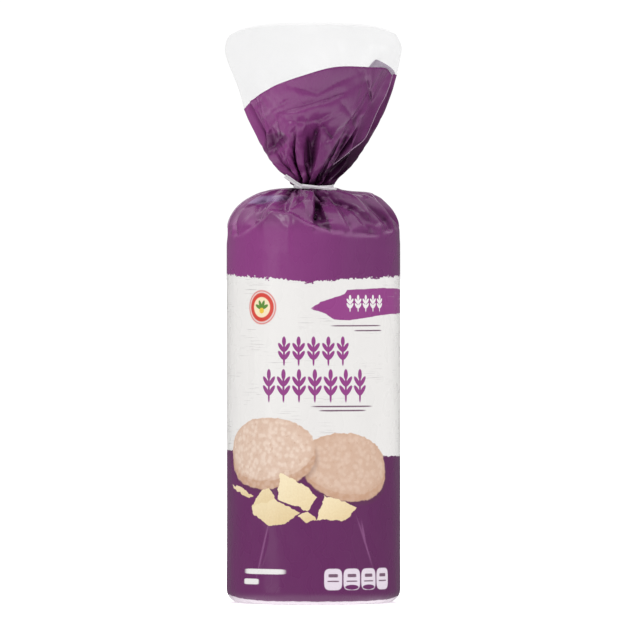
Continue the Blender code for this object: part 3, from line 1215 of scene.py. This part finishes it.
def add_ribbon(bm, knots, width, count):
    """A ribbon. Each knot is x, y, z and then the way its width points, as three more numbers."""
    path = smooth_path(knots, count)
    centres, spans = path[:, :3] * MM, path[:, 3:]
    layer = bm.loops.layers.uv.verify()
    made = bmesh.ops.create_grid(bm, x_segments=RIBBON_STRIPS, y_segments=count - 1, size=1.0)["verts"]
    for i, vertex in enumerate(made):
        row, place = divmod(i, RIBBON_STRIPS + 1)
        ahead = centres[min(row + 1, count - 1)] - centres[max(row - 1, 0)]
        span = spans[row] - ahead * np.dot(spans[row], ahead) / np.dot(ahead, ahead)
        span /= np.linalg.norm(span)
        out = np.cross(ahead, span)
        out /= np.linalg.norm(out)
        across = 2 * place / RIBBON_STRIPS - 1
        ridge = WIRE_RIDGE * math.exp(-((across / WIRE_SHARE) ** 2))
        vertex.co = centres[row] + span * across * width / 2 + out * ridge
        for loop in vertex.link_loops:
            loop[layer].uv = (across, row / count)


# %% Winding the tie
TIE_RADIUS = 10.5  # of the ring round the neck, in millimetres
TIE_WIDTH = 1.7 * MM
TIE_WALL = 0.28 * MM
KNOT_ANGLE = 242  # where the tie is twisted on itself, in degrees from the right
RING_STEPS = 32
TWIST_STEPS = 12
tie_z = TIE_HEIGHT / MM

# The end that lies across the front, and the one that stands up at the left. Each knot is a
# place in millimetres, counted up from the tie's height, and the way its width points.
FRONT_END = (
    (-6.2, -11.8, 0.2, 0.1, 0, 1),
    (-1, -13.4, -0.4, 0.05, 0, 1),
    (6, -13.9, -1.2, 0.05, 0, 1),
    (12.2, -13.4, -2.0, 0.05, 0, 1),
)
LEFT_END = (
    (-5.6, -11.0, -0.6, 0.2, 0.2, 1),
    (-8.2, -11.6, 0.6, 0.5, 0.1, 1),
    (-11.5, -12.2, 2.8, 0.6, 0.1, 0.9),
    (-15.2, -12.8, 5.4, 0.6, 0, 0.8),
)

TIE_UP = np.array([0, 0, 1])
tie_shape = bmesh.new()
ring = []
for i in range(RING_STEPS + 1):
    turn = math.radians(KNOT_ANGLE + 360 * i / RING_STEPS)
    place = (TIE_RADIUS * math.cos(turn), TIE_RADIUS * math.sin(turn), tie_z + 0.8 * math.sin(turn))
    ring.append((*place, *TIE_UP))
add_ribbon(tie_shape, ring, TIE_WIDTH, 97)
knot = []
knot_turn = math.radians(KNOT_ANGLE)
knot_way = np.array([math.cos(knot_turn), math.sin(knot_turn), 0.0])
knot_side = np.array([-knot_way[1], knot_way[0], 0.0])
for i in range(TWIST_STEPS + 1):
    turn = math.radians(540 * i / TWIST_STEPS)  # one and a half turns
    place = knot_way * (TIE_RADIUS + 0.1 + 2.4 * i / TWIST_STEPS)
    width_way = knot_side * math.sin(turn) + TIE_UP * math.cos(turn)
    knot.append((*place[:2], tie_z - 0.7, *width_way))
add_ribbon(tie_shape, knot, TIE_WIDTH * 0.75, 40)
for end, width in ((FRONT_END, TIE_WIDTH), (LEFT_END, TIE_WIDTH * 1.3)):
    add_ribbon(tie_shape, [(x, y, tie_z + up, *way) for x, y, up, *way in end], width, 25)
tie_mesh = bpy.data.meshes.new("tie_ribbon")
tie_shape.to_mesh(tie_mesh)
tie_shape.free()
tie_mesh.shade_smooth()
tie = bpy.data.objects.new("tie_ribbon", tie_mesh)
bpy.context.scene.collection.objects.link(tie)
tie_wall = tie.modifiers.new("wall", "SOLIDIFY")
tie_wall.thickness = TIE_WALL
tie_wall.offset = 0.0
print("tie:", len(tie_mesh.polygons), "faces")

# %% [markdown]
# ## Shapes for the print
#
# The print is drawn by masks on the flat film, in millimetres. A vector node that multiplies and
# adds brings any spot on the film to a unit space of its own, where an ellipse is just a length
# below one, and a rounded box is a sum of high powers below one. A polygon is what lies inside
# all of its edges, so corners are listed anticlockwise. The renderer can keep only so many
# masks waiting in one material, so the masks of one ink are joined before they are laid on.


# %% Shape masks
def dot(finish, place, way):
    """How far a place lies along a way."""
    made = finish.node("ShaderNodeVectorMath", operation="DOT_PRODUCT")
    finish.tree.links.new(place, made.inputs[0])
    made.inputs[1].default_value = way
    return finish.signal(made.outputs["Value"])


def local(finish, place, centre, size, tilt=0.0):
    """The place vector seen from a spot with its own size, in half extents, and tilt in degrees."""
    if tilt:
        c, s = math.cos(math.radians(tilt)), math.sin(math.radians(tilt))
        place = finish.vector(dot(finish, place, (c, s, 0)), dot(finish, place, (-s, c, 0)))
        centre = (centre[0] * c + centre[1] * s, centre[1] * c - centre[0] * s)
    made = finish.node("ShaderNodeVectorMath", operation="MULTIPLY_ADD")
    finish.tree.links.new(place, made.inputs[0])
    made.inputs[1].default_value = (1 / size[0], 1 / size[1], 0)
    made.inputs[2].default_value = (-centre[0] / size[0], -centre[1] / size[1], 0)
    return made.outputs["Vector"]


def length_of(finish, vector):
    made = finish.node("ShaderNodeVectorMath", operation="LENGTH")
    finish.tree.links.new(vector, made.inputs[0])
    return finish.signal(made.outputs["Value"])


def split(finish, vector):
    """A vector's first two parts."""
    return dot(finish, vector, (1, 0, 0)), dot(finish, vector, (0, 1, 0))


def ellipse(finish, place, centre, size, tilt=0.0, soft=0.06):
    return length_of(finish, local(finish, place, centre, size, tilt)).rise(1 + soft, 1 - soft)


def rounded(finish, place, centre, size, tilt=0.0, squareness=5.0, soft=0.1):
    x, y = split(finish, local(finish, place, centre, size, tilt))
    total = abs(x).power(squareness) + abs(y).power(squareness)
    return total.rise(1 + soft * squareness / 2, 1 - soft * squareness / 2)


def union(masks):
    """Masks of one ink as one."""
    total = None
    for mask in masks:
        total = mask if total is None else total.highest(mask)
    return total


def polygon(finish, place, corners, soft=0.15):
    """A convex shape from its corners in millimetres, anticlockwise."""
    inside = None
    for (x0, y0), (x1, y1) in zip(corners, corners[1:] + corners[:1]):
        size = math.hypot(x1 - x0, y1 - y0)
        normal = (-(y1 - y0) / size, (x1 - x0) / size, 0.0)
        depth = dot(finish, place, normal) - (normal[0] * x0 + normal[1] * y0)
        inside = depth if inside is None else inside.lowest(depth)
    return inside.rise(-soft, soft)


def edge_line(finish, u, knots):
    """A height that follows u along straight stretches between knots."""
    low, high = knots[0][0], knots[-1][0]
    bottom = min(v for _, v in knots) - 1
    top = max(v for _, v in knots) + 1
    share = ((u - low) / (high - low)).held()
    line = finish.node("ShaderNodeFloatCurve")
    finish.tree.links.new(share.socket, line.inputs["Value"])
    curve = line.mapping.curves[0]
    for i, (x, v) in enumerate(knots):
        spot = ((x - low) / (high - low), (v - bottom) / (top - bottom))
        if i == 0:
            point = curve.points[0]
        elif i == len(knots) - 1:
            point = curve.points[len(curve.points) - 1]
        else:
            point = curve.points.new(*spot)
        point.location = spot
    for point in curve.points:
        point.handle_type = "VECTOR"
    line.mapping.update()
    return finish.signal(line.outputs["Value"]) * (top - bottom) + bottom


# %% [markdown]
# ## The printed film
#
# The print has a purple top and foot with brush-torn edges, and a white band between them with
# faint grey streaks like lime-washed boards. A purple brush stroke runs round to the right of the
# band. In place of words there are generic motifs: a round seal, rows of grain sprigs, plain bars
# and lines. Below them lie two whole puffed cakes and shards of cheese. Everything is laid over
# what lies under it by a Mix node, in the order in which the inks would be printed.
# Over the print lie painted shade and a painted sheen: the purples darken to the right, the folds and the
# neck are darker, and a lilac sheen lies on the shoulder.

# %% Ink colours
PURPLE_TOP = srgb(137, 61, 126)
# A darker copy of the top purple, painted shade for the bag's right side.
PURPLE_TOP_SHADED = srgb(112, 51, 105)
PURPLE_FOOT = srgb(106, 46, 98)
# A darker copy of the foot purple, painted shade for the bag's right side.
PURPLE_FOOT_SHADED = srgb(97, 43, 90)
PURPLE_MOTIF = srgb(147, 68, 134)
# Painted shade, laid into the ink in the folds, near the tie and past the frill's weld.
PURPLE_SHADE = srgb(70, 20, 64)
# Near black: painted shade right of the frill's weld and deep in the creases.
PURPLE_DARK_SHADE = srgb(36, 10, 34)
WHITE_INK = srgb(234, 232, 230)
STREAK_GREY = srgb(186, 182, 182)
CAKE_LIGHT = srgb(234, 212, 196)
CAKE_MID = srgb(216, 186, 166)
CAKE_DARK = srgb(196, 156, 130)
CAKE_SHADOW = srgb(90, 60, 70)
CHEESE = srgb(226, 202, 156)
CHEESE_LIGHT = srgb(244, 228, 192)
SEAL_RED = srgb(212, 72, 62)
LEAF_GREEN = srgb(96, 140, 62)
SEED_YELLOW = srgb(236, 196, 72)
TEXT_GREY = srgb(120, 92, 112)
STRIPE_INK = srgb(40, 34, 40)
PAD_INK = srgb(226, 214, 226)
CLEAR_TINT = srgb(222, 208, 220)
# A painted reflection, for the sheen on the left of the shoulder.
LILAC_SHEEN = srgb(150, 130, 170)
# Light streaks on the foot: partly whitened film, partly a painted highlight.
SCUFF_AND_GLINT = srgb(168, 112, 160)

# %% Grounds
# The edges of the grounds, as places round from the front and heights, in millimetres. The weld
# at the back lies 147 mm round to either side.
FOOT_EDGE = [(-147, 77), (-60, 81.8), (0, 80), (60, 78.3), (147, 77)]
TOP_EDGE = [
    (-147, 175), (-73, 175.7), (-18, 173.0), (0, 171.2), (15, 172.8),
    (73, 175), (147, 175),
]
STROKE_HIGH = [
    (-2, 157.3), (4, 160.9), (17, 165), (18.5, 167.3), (42, 168.2),
    (73, 167.3), (100, 166),
]
STROKE_LOW = [
    (-2, 157.2), (6, 154.9), (11, 151.6), (20, 151), (41, 153.8),
    (73, 154.8), (100, 157),
]
HEM = [
    (-147, 3), (-62, 4.4), (-45, 2.2), (-28, 1.2), (30, 1.1),
    (50, 1.8), (64, 3.4), (147, 3),
]


def printed_grounds(finish, u, v):
    """The white band, the two purple fields and the brush stroke."""
    across = finish.vector(u / 7, v / 2.2)
    fray = finish.noise(across, scale=1.0, detail=4.0, roughness=0.6)
    along = finish.noise(finish.vector(u / 14, v / 0.5), scale=1.0, detail=3.0)
    patch = finish.noise(finish.vector(u / 26, v / 14), scale=1.0, detail=1.0)
    streaks = along.rise(0.59, 0.66) * patch.rise(0.50, 0.60) * 0.7
    colour = finish.mix(streaks, WHITE_INK, STREAK_GREY)
    # Painted shade: the white is a little greyer round the front middle.
    colour = finish.mix(abs(u - 14).rise(30, 12) * 0.10, colour, STREAK_GREY)

    foot_edge = edge_line(finish, u, FOOT_EDGE)
    foot = (v - foot_edge - (fray - 0.5) * 4).rise(0.25, -0.25)
    top_edge = edge_line(finish, u, TOP_EDGE)
    teeth = finish.noise(finish.vector(u / 1.3, v / 1.8), scale=1.0, detail=3.0)
    top = (v - top_edge - (fray - 0.5) * 4.5 - (teeth - 0.5) * 3.4).rise(-0.2, 0.2)

    wobble = (finish.noise(finish.vector(u / 9, v / 0.9), scale=1.0, detail=3.0) - 0.5) * 5
    high = edge_line(finish, u, STROKE_HIGH)
    low = edge_line(finish, u, STROKE_LOW)
    fence = (u - wobble * 1.5).rise(-1.5, 0.0) * (u - wobble * 3).rise(97, 95)
    stroke = (high - v + wobble * 0.25).rise(-0.2, 0.2)
    stroke = stroke * (v - low + wobble * 0.25).rise(-0.2, 0.2) * fence
    gaps = finish.noise(finish.vector(u / 16, v / 0.7), scale=1.0, detail=2.0).rise(0.70, 0.64)
    stroke = stroke * gaps.highest((u - 42).rise(30, 0))

    colour = finish.mix(stroke, colour, PURPLE_MOTIF)
    # Both purples grow darker towards the right: painted shade.
    colour = finish.mix(foot, colour, finish.mix(u.rise(-45, 60), PURPLE_FOOT, PURPLE_FOOT_SHADED))
    return finish.mix(top, colour, finish.mix(u.rise(-30, 34), PURPLE_TOP, PURPLE_TOP_SHADED))


# %% Small motifs
def seal(finish, place, colour, centre, radius):
    """A round seal: a red ring with a cream middle, and leaves round a yellow seed."""
    x, y = centre
    for share, ink in ((1.0, SEAL_RED), (0.93, WHITE_INK), (0.86, SEAL_RED), (0.6, CHEESE_LIGHT)):
        disc = ellipse(finish, place, centre, (radius * share, radius * share))
        colour = finish.mix(disc, colour, ink)
    leaves = []
    for turn in (-62, -22, 22, 62):
        tip = math.radians(turn + 90)
        spot = (x + radius * 0.26 * math.cos(tip), y - radius * 0.12 + radius * 0.3 * math.sin(tip))
        leaves.append(ellipse(finish, place, spot, (radius * 0.26, radius * 0.1), turn + 90, 0.12))
    colour = finish.mix(union(leaves), colour, LEAF_GREEN)
    seed = ellipse(finish, place, (x, y - radius * 0.2), (radius * 0.17, radius * 0.17), 0, 0.12)
    return finish.mix(seed, colour, SEED_YELLOW)


def sprigs(finish, u, v, colour, centre, width, height, pitch, ink):
    """A row of equal grain sprigs, made once and repeated along u."""
    across = (u - centre[0]) / pitch
    cell = across - across.math("ROUND")
    spot = finish.vector(cell * pitch, v - centre[1])
    stem = rounded(finish, spot, (0, -height * 0.06), (pitch * 0.07, height * 0.44), 0, 4.0, 0.2)
    parts = [stem]
    for level in (-0.22, 0.06):
        for side in (-1, 1):
            grain = (side * pitch * 0.2, height * level + height * 0.08)
            parts.append(ellipse(finish, spot, grain, (height * 0.19, pitch * 0.13), 90 - side * 34, 0.12))
    parts.append(ellipse(finish, spot, (0, height * 0.36), (pitch * 0.14, height * 0.17), 0, 0.12))
    mask = union(parts) * abs(across * pitch).rise(width / 2 + 0.05, width / 2 - 0.05)
    return finish.mix(mask, colour, ink)


def bars(finish, place, colour, ink, boxes):
    """Plain bars where small print would be. A box is its centre and its half extents."""
    mask = union([rounded(finish, place, *box, 0, 6.0, 0.25) for box in boxes])
    return finish.mix(mask, colour, ink)


# %% Puffed cakes
def ragged(finish, place, wander, reach):
    """Places moved about a little, so that the outline of what is drawn on them is ragged."""
    moved = finish.node("ShaderNodeVectorMath", operation="MULTIPLY_ADD")
    finish.tree.links.new(wander, moved.inputs[0])
    moved.inputs[1].default_value = (reach, reach, 0)
    finish.tree.links.new(place, moved.inputs[2])
    return moved.outputs["Vector"]


def puffed_cake(finish, place, colour, centre, size, tilt, thick, grain, shade=0.0):
    """A round cake seen at a slant: its wall below, and its face of puffed grains above."""
    wall_spot = (centre[0] + thick[0], centre[1] + thick[1])
    shaky = ragged(finish, place, grain["wander"], 2.2)
    wall = ellipse(finish, shaky, wall_spot, size, tilt, 0.025)
    face = length_of(finish, local(finish, shaky, centre, size, tilt))
    wall_tone = finish.mix(grain["puff"] * 0.75, CAKE_DARK, CAKE_MID)
    face_tone = finish.mix(grain["puff"], CAKE_MID, CAKE_LIGHT)
    face_tone = finish.mix(grain["toast"], face_tone, CAKE_DARK)
    face_tone = finish.mix(face.rise(0.86, 1.0) * 0.35, face_tone, CAKE_DARK)
    face_tone = finish.mix(shade, face_tone, CAKE_DARK)
    wall_tone = finish.mix(shade, wall_tone, CAKE_DARK)
    shadow_spot = (wall_spot[0] + 0.8, wall_spot[1] - 1.6)
    shadow_size = (size[0] * 1.01, size[1] * 1.02)
    shadow = ellipse(finish, place, shadow_spot, shadow_size, tilt, 0.08)
    colour = finish.mix(shadow * 0.35, colour, CAKE_SHADOW)
    colour = finish.mix(wall, colour, wall_tone)
    return finish.mix(face.rise(1.02, 0.99), colour, face_tone)


def cake_grain(finish, place):
    """The puffed grains that all cakes share: their light tops, toasted spots and ragged outline."""
    puff = finish.cells(place, "SMOOTH_F1", scale=0.42).rise(0.62, 0.18)
    small = finish.noise(place, scale=0.9, detail=3.0, roughness=0.65)
    puff = (puff * 0.75 + (small - 0.3) * 0.7).held()
    spots = finish.noise(place, scale=0.32, detail=2.0).rise(0.62, 0.72)
    specks = finish.noise(place, scale=2.2, detail=1.0).rise(0.66, 0.74)
    toast = (spots * 0.45 + specks * 0.5).held()
    wander = finish.noise(place, scale=0.28, detail=2.0) - 0.5
    wander_up = finish.noise(local(finish, place, (37, 53), (1, 1)), scale=0.28, detail=2.0) - 0.5
    wander = finish.vector(wander, wander_up)
    return {"puff": puff, "toast": toast, "small": small, "wander": wander}


def shard(finish, place, colour, corners, lit, grain):
    """A shard of cheese with a slightly worn outline, lighter towards its upper left."""
    shaky = ragged(finish, place, grain["wander"], 3.0)
    u0, v0 = (min(corner[i] for corner in corners) for i in (0, 1))
    u1, v1 = (max(corner[i] for corner in corners) for i in (0, 1))
    slope = local(finish, place, ((u0 + u1) / 2, (v0 + v1) / 2), (u1 - u0, v1 - v0))
    across, up = split(finish, slope)
    light = ((up - across) * 0.5 + lit + (grain["small"] - 0.5) * 0.8).held()
    tone = finish.mix(light, CHEESE, CHEESE_LIGHT)
    return finish.mix(polygon(finish, shaky, corners), colour, tone)


# %% Back of the bag
TABLE_SPOT = (-112, 76)
TABLE_PITCH = 5.2
LINES_SPOT = (112, 132)
LINE_PITCH = 3
STRIPES_SPOT = (112, 44)


def back_panel(finish, place, u, v, colour):
    """A plain table, a block of lines and a block of bars, as every such bag has on its back."""
    colour = finish.mix(rounded(finish, place, TABLE_SPOT, (21, 46), 0, 10.0), colour, TEXT_GREY)
    colour = finish.mix(rounded(finish, place, TABLE_SPOT, (20.4, 45.4), 0, 10.0), colour, WHITE_INK)
    ruled = abs((v / TABLE_PITCH - (v / TABLE_PITCH).math("ROUND")) * TABLE_PITCH).rise(0.3, 0.15)
    ruled = ruled * abs(u - TABLE_SPOT[0]).rise(18.2, 18.0)
    ruled = ruled * (v - 33).rise(0, 0.2) * (v - 112).rise(0.2, 0)
    words = finish.noise(finish.vector(u / 2.2, (v / TABLE_PITCH).math("FLOOR") * 7.3))
    words = words.rise(0.42, 0.46)
    words = words * abs((v / TABLE_PITCH).math("FRACT") - 0.5).rise(0.22, 0.18)
    words = words * abs(u - TABLE_SPOT[0]).rise(17.6, 17.4)
    words = words * (v - 33).rise(0, 0.2) * (v - 119).rise(0.2, 0)
    colour = finish.mix(ruled.highest(words * 0.8), colour, TEXT_GREY)
    colour = finish.mix(rounded(finish, place, LINES_SPOT, (22, 22), 0, 12.0), colour, WHITE_INK)
    lines = finish.noise(finish.vector(u / 2.0, (v / LINE_PITCH).math("FLOOR") * 5.1, 2.0))
    lines = lines.rise(0.40, 0.44)
    lines = lines * abs((v / LINE_PITCH).math("FRACT") - 0.5).rise(0.20, 0.16)
    lines = lines * abs(u - LINES_SPOT[0]).rise(20, 19.8) * abs(v - LINES_SPOT[1]).rise(19, 18.8)
    colour = finish.mix(lines * 0.8, colour, TEXT_GREY)
    colour = finish.mix(rounded(finish, place, STRIPES_SPOT, (17, 12), 0, 12.0), colour, WHITE_INK)
    stripes = finish.noise(finish.vector(u / 0.9, 0.0, 5.0), detail=1.0).rise(0.49, 0.51)
    stripes = stripes * abs(u - STRIPES_SPOT[0]).rise(14.6, 14.4)
    stripes = stripes * abs(v - STRIPES_SPOT[1]).rise(9.6, 9.4)
    return finish.mix(stripes, colour, STRIPE_INK)


# %% Crumples
STACK_EDGE = STACK_TOP / MM  # where the sleeve ends and the gathered film begins


def crumples(finish, u, v):
    """Relief of taut film: soft flats, a few straight fine creases, and a faint grain."""
    soft = finish.noise(finish.vector(u / 16, v / 27), detail=2.0, roughness=0.4)
    flutes = finish.noise(finish.vector(u / 7 + v / 60, v / 60), detail=1.0)
    facets = finish.cells(finish.vector(u / 13, v / 19, 0.3), "DISTANCE_TO_EDGE").rise(0.22, 0.0)
    upper = (v - STACK_EDGE).rise(-6, 8)
    grain = finish.noise(finish.vector(u / 0.7, v / 0.7), detail=1.0)
    return soft * (upper * 0.8 + 1) + flutes * 0.3 + facets * (upper * 0.25 + 0.02) + grain * 0.005


# %% Painted shade in the folds
# Painted shade: where the front of the gathered film folds, a darker purple is laid into the ink.
# Each patch is a depth and the corners of its shape from the front, in millimetres across and up.
FOLD_SHADE_PATCHES = (
    (0.50, [(-27.6, 240.6), (-24, 238.2), (-19.5, 241), (-13.6, 247.2), (-17.6, 252), (-24.6, 249.8)]),
    (0.60, [(8, 231), (12, 232.5), (17, 242), (18.5, 251.5), (14, 244)]),
    (0.90, [(0.5, 219.5), (0.0, 202.4), (11.2, 197.4), (6.6, 208), (4.0, 217.5)]),
)
# A painted reflection: a lilac sheen laid on the left of the shoulder.
PAINTED_SHEEN_SPOT = [(-36.5, 213.4), (-30, 212.8), (-20, 213.6), (-12.5, 216.0), (-18, 217.6), (-28, 217.2)]


def with_painted_shade(finish, colour, u):
    """Lays painted shade in the folds, darkest right of the frill's weld, and a painted sheen."""
    made = finish.node("ShaderNodeSeparateXYZ")
    finish.tree.links.new(finish.node("ShaderNodeTexCoord").outputs["Object"], made.inputs["Vector"])
    x, y, z = (finish.signal(made.outputs[axis]) * PER_METRE for axis in ("X", "Y", "Z"))
    bend = finish.noise(finish.vector(x, z), scale=0.12, detail=1.0) - 0.5
    flat = finish.vector(x + bend * 2, z + bend * 3)
    front = abs(u - 10).rise(96, 86)
    # Painted shade where the film folds.
    shade_patches = union([polygon(finish, flat, corners, 0.7) * depth for depth, corners in FOLD_SHADE_PATCHES])
    colour = finish.mix(shade_patches * front, colour, PURPLE_SHADE)
    # A painted lilac reflection on the shoulder.
    painted_sheen = polygon(finish, flat, PAINTED_SHEEN_SPOT, 0.8) * (y + 1).rise(0, -2)
    colour = finish.mix(painted_sheen * 0.55, colour, LILAC_SHEEN)
    weld = edge_line(finish, z, [(up, across) for across, up in [(-6.0, 221.0)] + WELD_FOLD])
    # Right of the frill's weld the film is painted darker, near black by the tie: painted shade.
    past_weld_shade = (x - weld).rise(-0.3, 0.4) * u.rise(10, 20) * (u - 116).rise(8, 0)
    past_weld_shade = past_weld_shade * (z - 224).rise(0, 5) * (z - 278).rise(0, -5)
    colour = finish.mix(past_weld_shade * (z - 235).rise(36, 0) * 0.25 + past_weld_shade * 0.6, colour, PURPLE_SHADE)
    return finish.mix(past_weld_shade * (z - 230).rise(30, 5) * 0.6, colour, PURPLE_DARK_SHADE)


# %% Printed film finish
CRUMPLE_DEPTH = 0.9 * MM
film_finish = Finish("printed_film")
film_finish.set("Specular IOR Level", 0.36)
u, v = film_finish.film_place()
place = film_finish.vector(u, v)
ink = printed_grounds(film_finish, u, v)
ink = seal(film_finish, place, ink, (-29.5, 158.0), 9.0)
ink = sprigs(film_finish, u, v, ink, (30.0, 160.0), 24.5, 8.6, 4.9, WHITE_INK)
ink = bars(film_finish, place, ink, TEXT_GREY, [((25, 148.2), (15, 0.35)), ((32, 145.6), (9, 0.35))])
ink = sprigs(film_finish, u, v, ink, (0.0, 134.6), 40.0, 15.0, 8.0, PURPLE_MOTIF)
ink = sprigs(film_finish, u, v, ink, (0.7, 116.2), 59.5, 17.0, 8.5, PURPLE_MOTIF)
ink = bars(film_finish, place, ink, TEXT_GREY, [((16.5, 105.4), (17, 0.4)), ((16.5, 103.2), (13, 0.4))])
SHARD_RISE = 1.4  # how far up the shards lie from where they are listed
grain = cake_grain(film_finish, place)
ink = puffed_cake(film_finish, place, ink, (19.0, 75.0), (25.5, 16.0), -8, (0.6, -3.9), grain, 0.4)
ink = puffed_cake(film_finish, place, ink, (-27.0, 82.6), (27.8, 16.6), 4, (0.5, -4.6), grain)
for corners, lit in (
    ([(-56, 61.8), (-49, 58.2), (-38.7, 55.2), (-35.4, 56.2), (-44.6, 60.8)], 0.4),
    ([(-36.8, 50.8), (-35, 46.2), (-24.2, 40.5), (-15.5, 41.5), (-7.2, 47.5), (-21.2, 54.8)], 0.35),
    ([(-36.8, 50.6), (-21.2, 54.6), (-24.2, 60.8), (-28.9, 60.1)], 0.35),
    ([(-19.7, 54.8), (-3.2, 48.8), (2.1, 55.8), (-5.8, 62.8), (-18.3, 69.1)], 0.7),
    ([(2.1, 44.2), (17.8, 43.5), (23.8, 50.2), (15.7, 54.2), (5.5, 56.5)], 0.5),
    ([(-8.9, 45.5), (-3.2, 42.9), (2.1, 44), (-3.2, 48.2)], 0.2),
):
    ink = shard(film_finish, place, ink, [(x, y + SHARD_RISE) for x, y in corners], lit, grain)
# Light streaks along the foot's creases: partly whitened film, partly a painted highlight.
scuffs_and_glints = []
for centre, length, tilt in (
    ((-29.1, 28.5), 13, 74.4),
    ((29.4, 33.2), 12, 111.7),
    ((28.6, 37.5), 6, 103),
):
    scuffs_and_glints.append(ellipse(film_finish, place, centre, (length, 0.55), tilt, 0.6))
ink = film_finish.mix(union(scuffs_and_glints) * 0.4, ink, SCUFF_AND_GLINT)
ink = bars(film_finish, place, ink, WHITE_INK, [((-28.5, 17.6), (13, 1.4)), ((-37, 12.2), (5.5, 1.5))])
PAD_PITCH = 10.6
pads = [PAD_PITCH + PAD_PITCH * i for i in range(4)]
pad_shapes = union([rounded(film_finish, place, (x, 13.6), (4.9, 5.7), 0, 4.0) for x in pads])
ink = film_finish.mix(pad_shapes, ink, PAD_INK)
ink = bars(film_finish, place, ink, TEXT_GREY, [((x, 15.6), (2.6, 0.9)) for x in pads])
ink = bars(film_finish, place, ink, TEXT_GREY, [((x, 12.6), (3.2, 0.35)) for x in pads])
lenses = union([ellipse(film_finish, place, (x, 9.4), (4.0, 1.3), 0, 0.1) for x in pads[1:3]])
ink = film_finish.mix(lenses, ink, PURPLE_FOOT)
ink = back_panel(film_finish, place, u, v, ink)
hem = edge_line(film_finish, u, HEM)
hem_fray = (film_finish.noise(film_finish.vector(u / 5, v / 5)) - 0.5) * 1.4
ink = film_finish.mix((v - hem - hem_fray).rise(0.1, -0.3), ink, CLEAR_TINT)
# Painted shade: the film is darker from the shoulder up into the lower frill, round the tie.
neck_shade = (v - STACK_EDGE).rise(0, 12) * (v - 250).rise(16, 0)
ink = film_finish.mix(neck_shade * 0.46, ink, PURPLE_SHADE)
ink = with_painted_shade(film_finish, ink, u)
# Painted shade in the creases: above the stack the ink darkens where the occlusion node finds the film
# hemmed in.
occlusion = film_finish.node("ShaderNodeAmbientOcclusion", samples=6)
occlusion.inputs["Distance"].default_value = 9 * MM
fold_shade = film_finish.signal(occlusion.outputs["AO"]).rise(0.75, 0.15) * (v - STACK_EDGE).rise(-4, 6)
ink = film_finish.mix(fold_shade * 0.75, ink, PURPLE_DARK_SHADE)
film_finish.set("Base Color", ink)
gloss = film_finish.noise(film_finish.vector(u / 8, v / 13), detail=1.0).rise(0.25, 0.75)
film_finish.set("Roughness", gloss * 0.1 + 0.24)
film_finish.relief(crumples(film_finish, u, v), depth=CRUMPLE_DEPTH)
print(len(film_finish.tree.nodes), "nodes in the printed film")

# %% Other film finishes
inside_finish = Finish("film_inside")
u, v = inside_finish.film_place()
inside_tone = inside_finish.noise(inside_finish.vector(u / 9, v / 9), detail=2.0)
inside_finish.set("Base Color", inside_finish.mix(inside_tone, srgb(158, 146, 160), srgb(134, 116, 140)))
inside_finish.set("Roughness", inside_tone * 0.3 + 0.25)
inside_finish.relief(crumples(inside_finish, u, v), depth=CRUMPLE_DEPTH)

clear_finish = Finish("clear_film")
u, v = clear_finish.film_place()
clear_tone = clear_finish.noise(clear_finish.vector(u / 12, v / 12), detail=2.0)
clear_finish.set("Base Color", clear_finish.mix(clear_tone, (0.80, 0.80, 0.81), (0.83, 0.83, 0.84)))
clear_finish.set("Roughness", clear_tone * 0.2 + 0.1)
clear_finish.set("Alpha", clear_tone * 0.02 + 0.075)
clear_finish.relief(crumples(clear_finish, u, v), depth=0.3 * MM)

bead_finish = Finish("weld_bead")
spot = bead_finish.node("ShaderNodeTexCoord").outputs["Object"]
bead_tone = bead_finish.noise(spot, scale=220, detail=1.0)
bead_finish.set("Base Color", bead_finish.mix(bead_tone, srgb(156, 112, 150), srgb(194, 166, 192)))
bead_finish.set("Roughness", bead_tone * 0.3 + 0.15)
bead_finish.relief(bead_tone, depth=0.05 * MM)
for bead in beads:
    bead.data.materials.append(bead_finish.material)

tie_finish = Finish("tie_plastic")
ribbon = tie_finish.node("ShaderNodeUVMap", uv_map="UVMap")
across, along = split(tie_finish, ribbon.outputs["UV"])
spot = tie_finish.node("ShaderNodeTexCoord").outputs["Object"]
tie_tone = tie_finish.noise(spot, scale=420, detail=2.0)
tie_colour = tie_finish.mix(tie_tone.rise(0.50, 0.66) * 0.35, srgb(254, 253, 253), srgb(216, 210, 218))
tie_colour = tie_finish.mix(abs(across).rise(0.16, 0.08) * 0.5, tie_colour, srgb(120, 108, 122))
# The tie glows faintly: painted light, so that its white stays bright in the shade of the frill.
tie_finish.set("Emission Color", tie_colour)
tie_finish.set("Emission Strength", 0.16)
tie_finish.set("Base Color", tie_colour)
tie_finish.set("Roughness", tie_tone * 0.3 + 0.2)
tie_finish.relief(tie_tone, depth=0.15 * MM)
tie.data.materials.append(tie_finish.material)

# A piece's first finish is for the outside of the film, and its second one for the inside.
for piece, outside, inside in (
    (sleeve, film_finish, inside_finish),
    (frill, film_finish, inside_finish),
    (clear, clear_finish, clear_finish),
):
    piece.data.materials.append(outside.material)
    piece.data.materials.append(inside.material)

# %% Riding
for piece in (sleeve, frill, clear, *beads):
    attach(piece, "root")
    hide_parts("film_bag")
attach(tie, "root")
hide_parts("twist_tie")
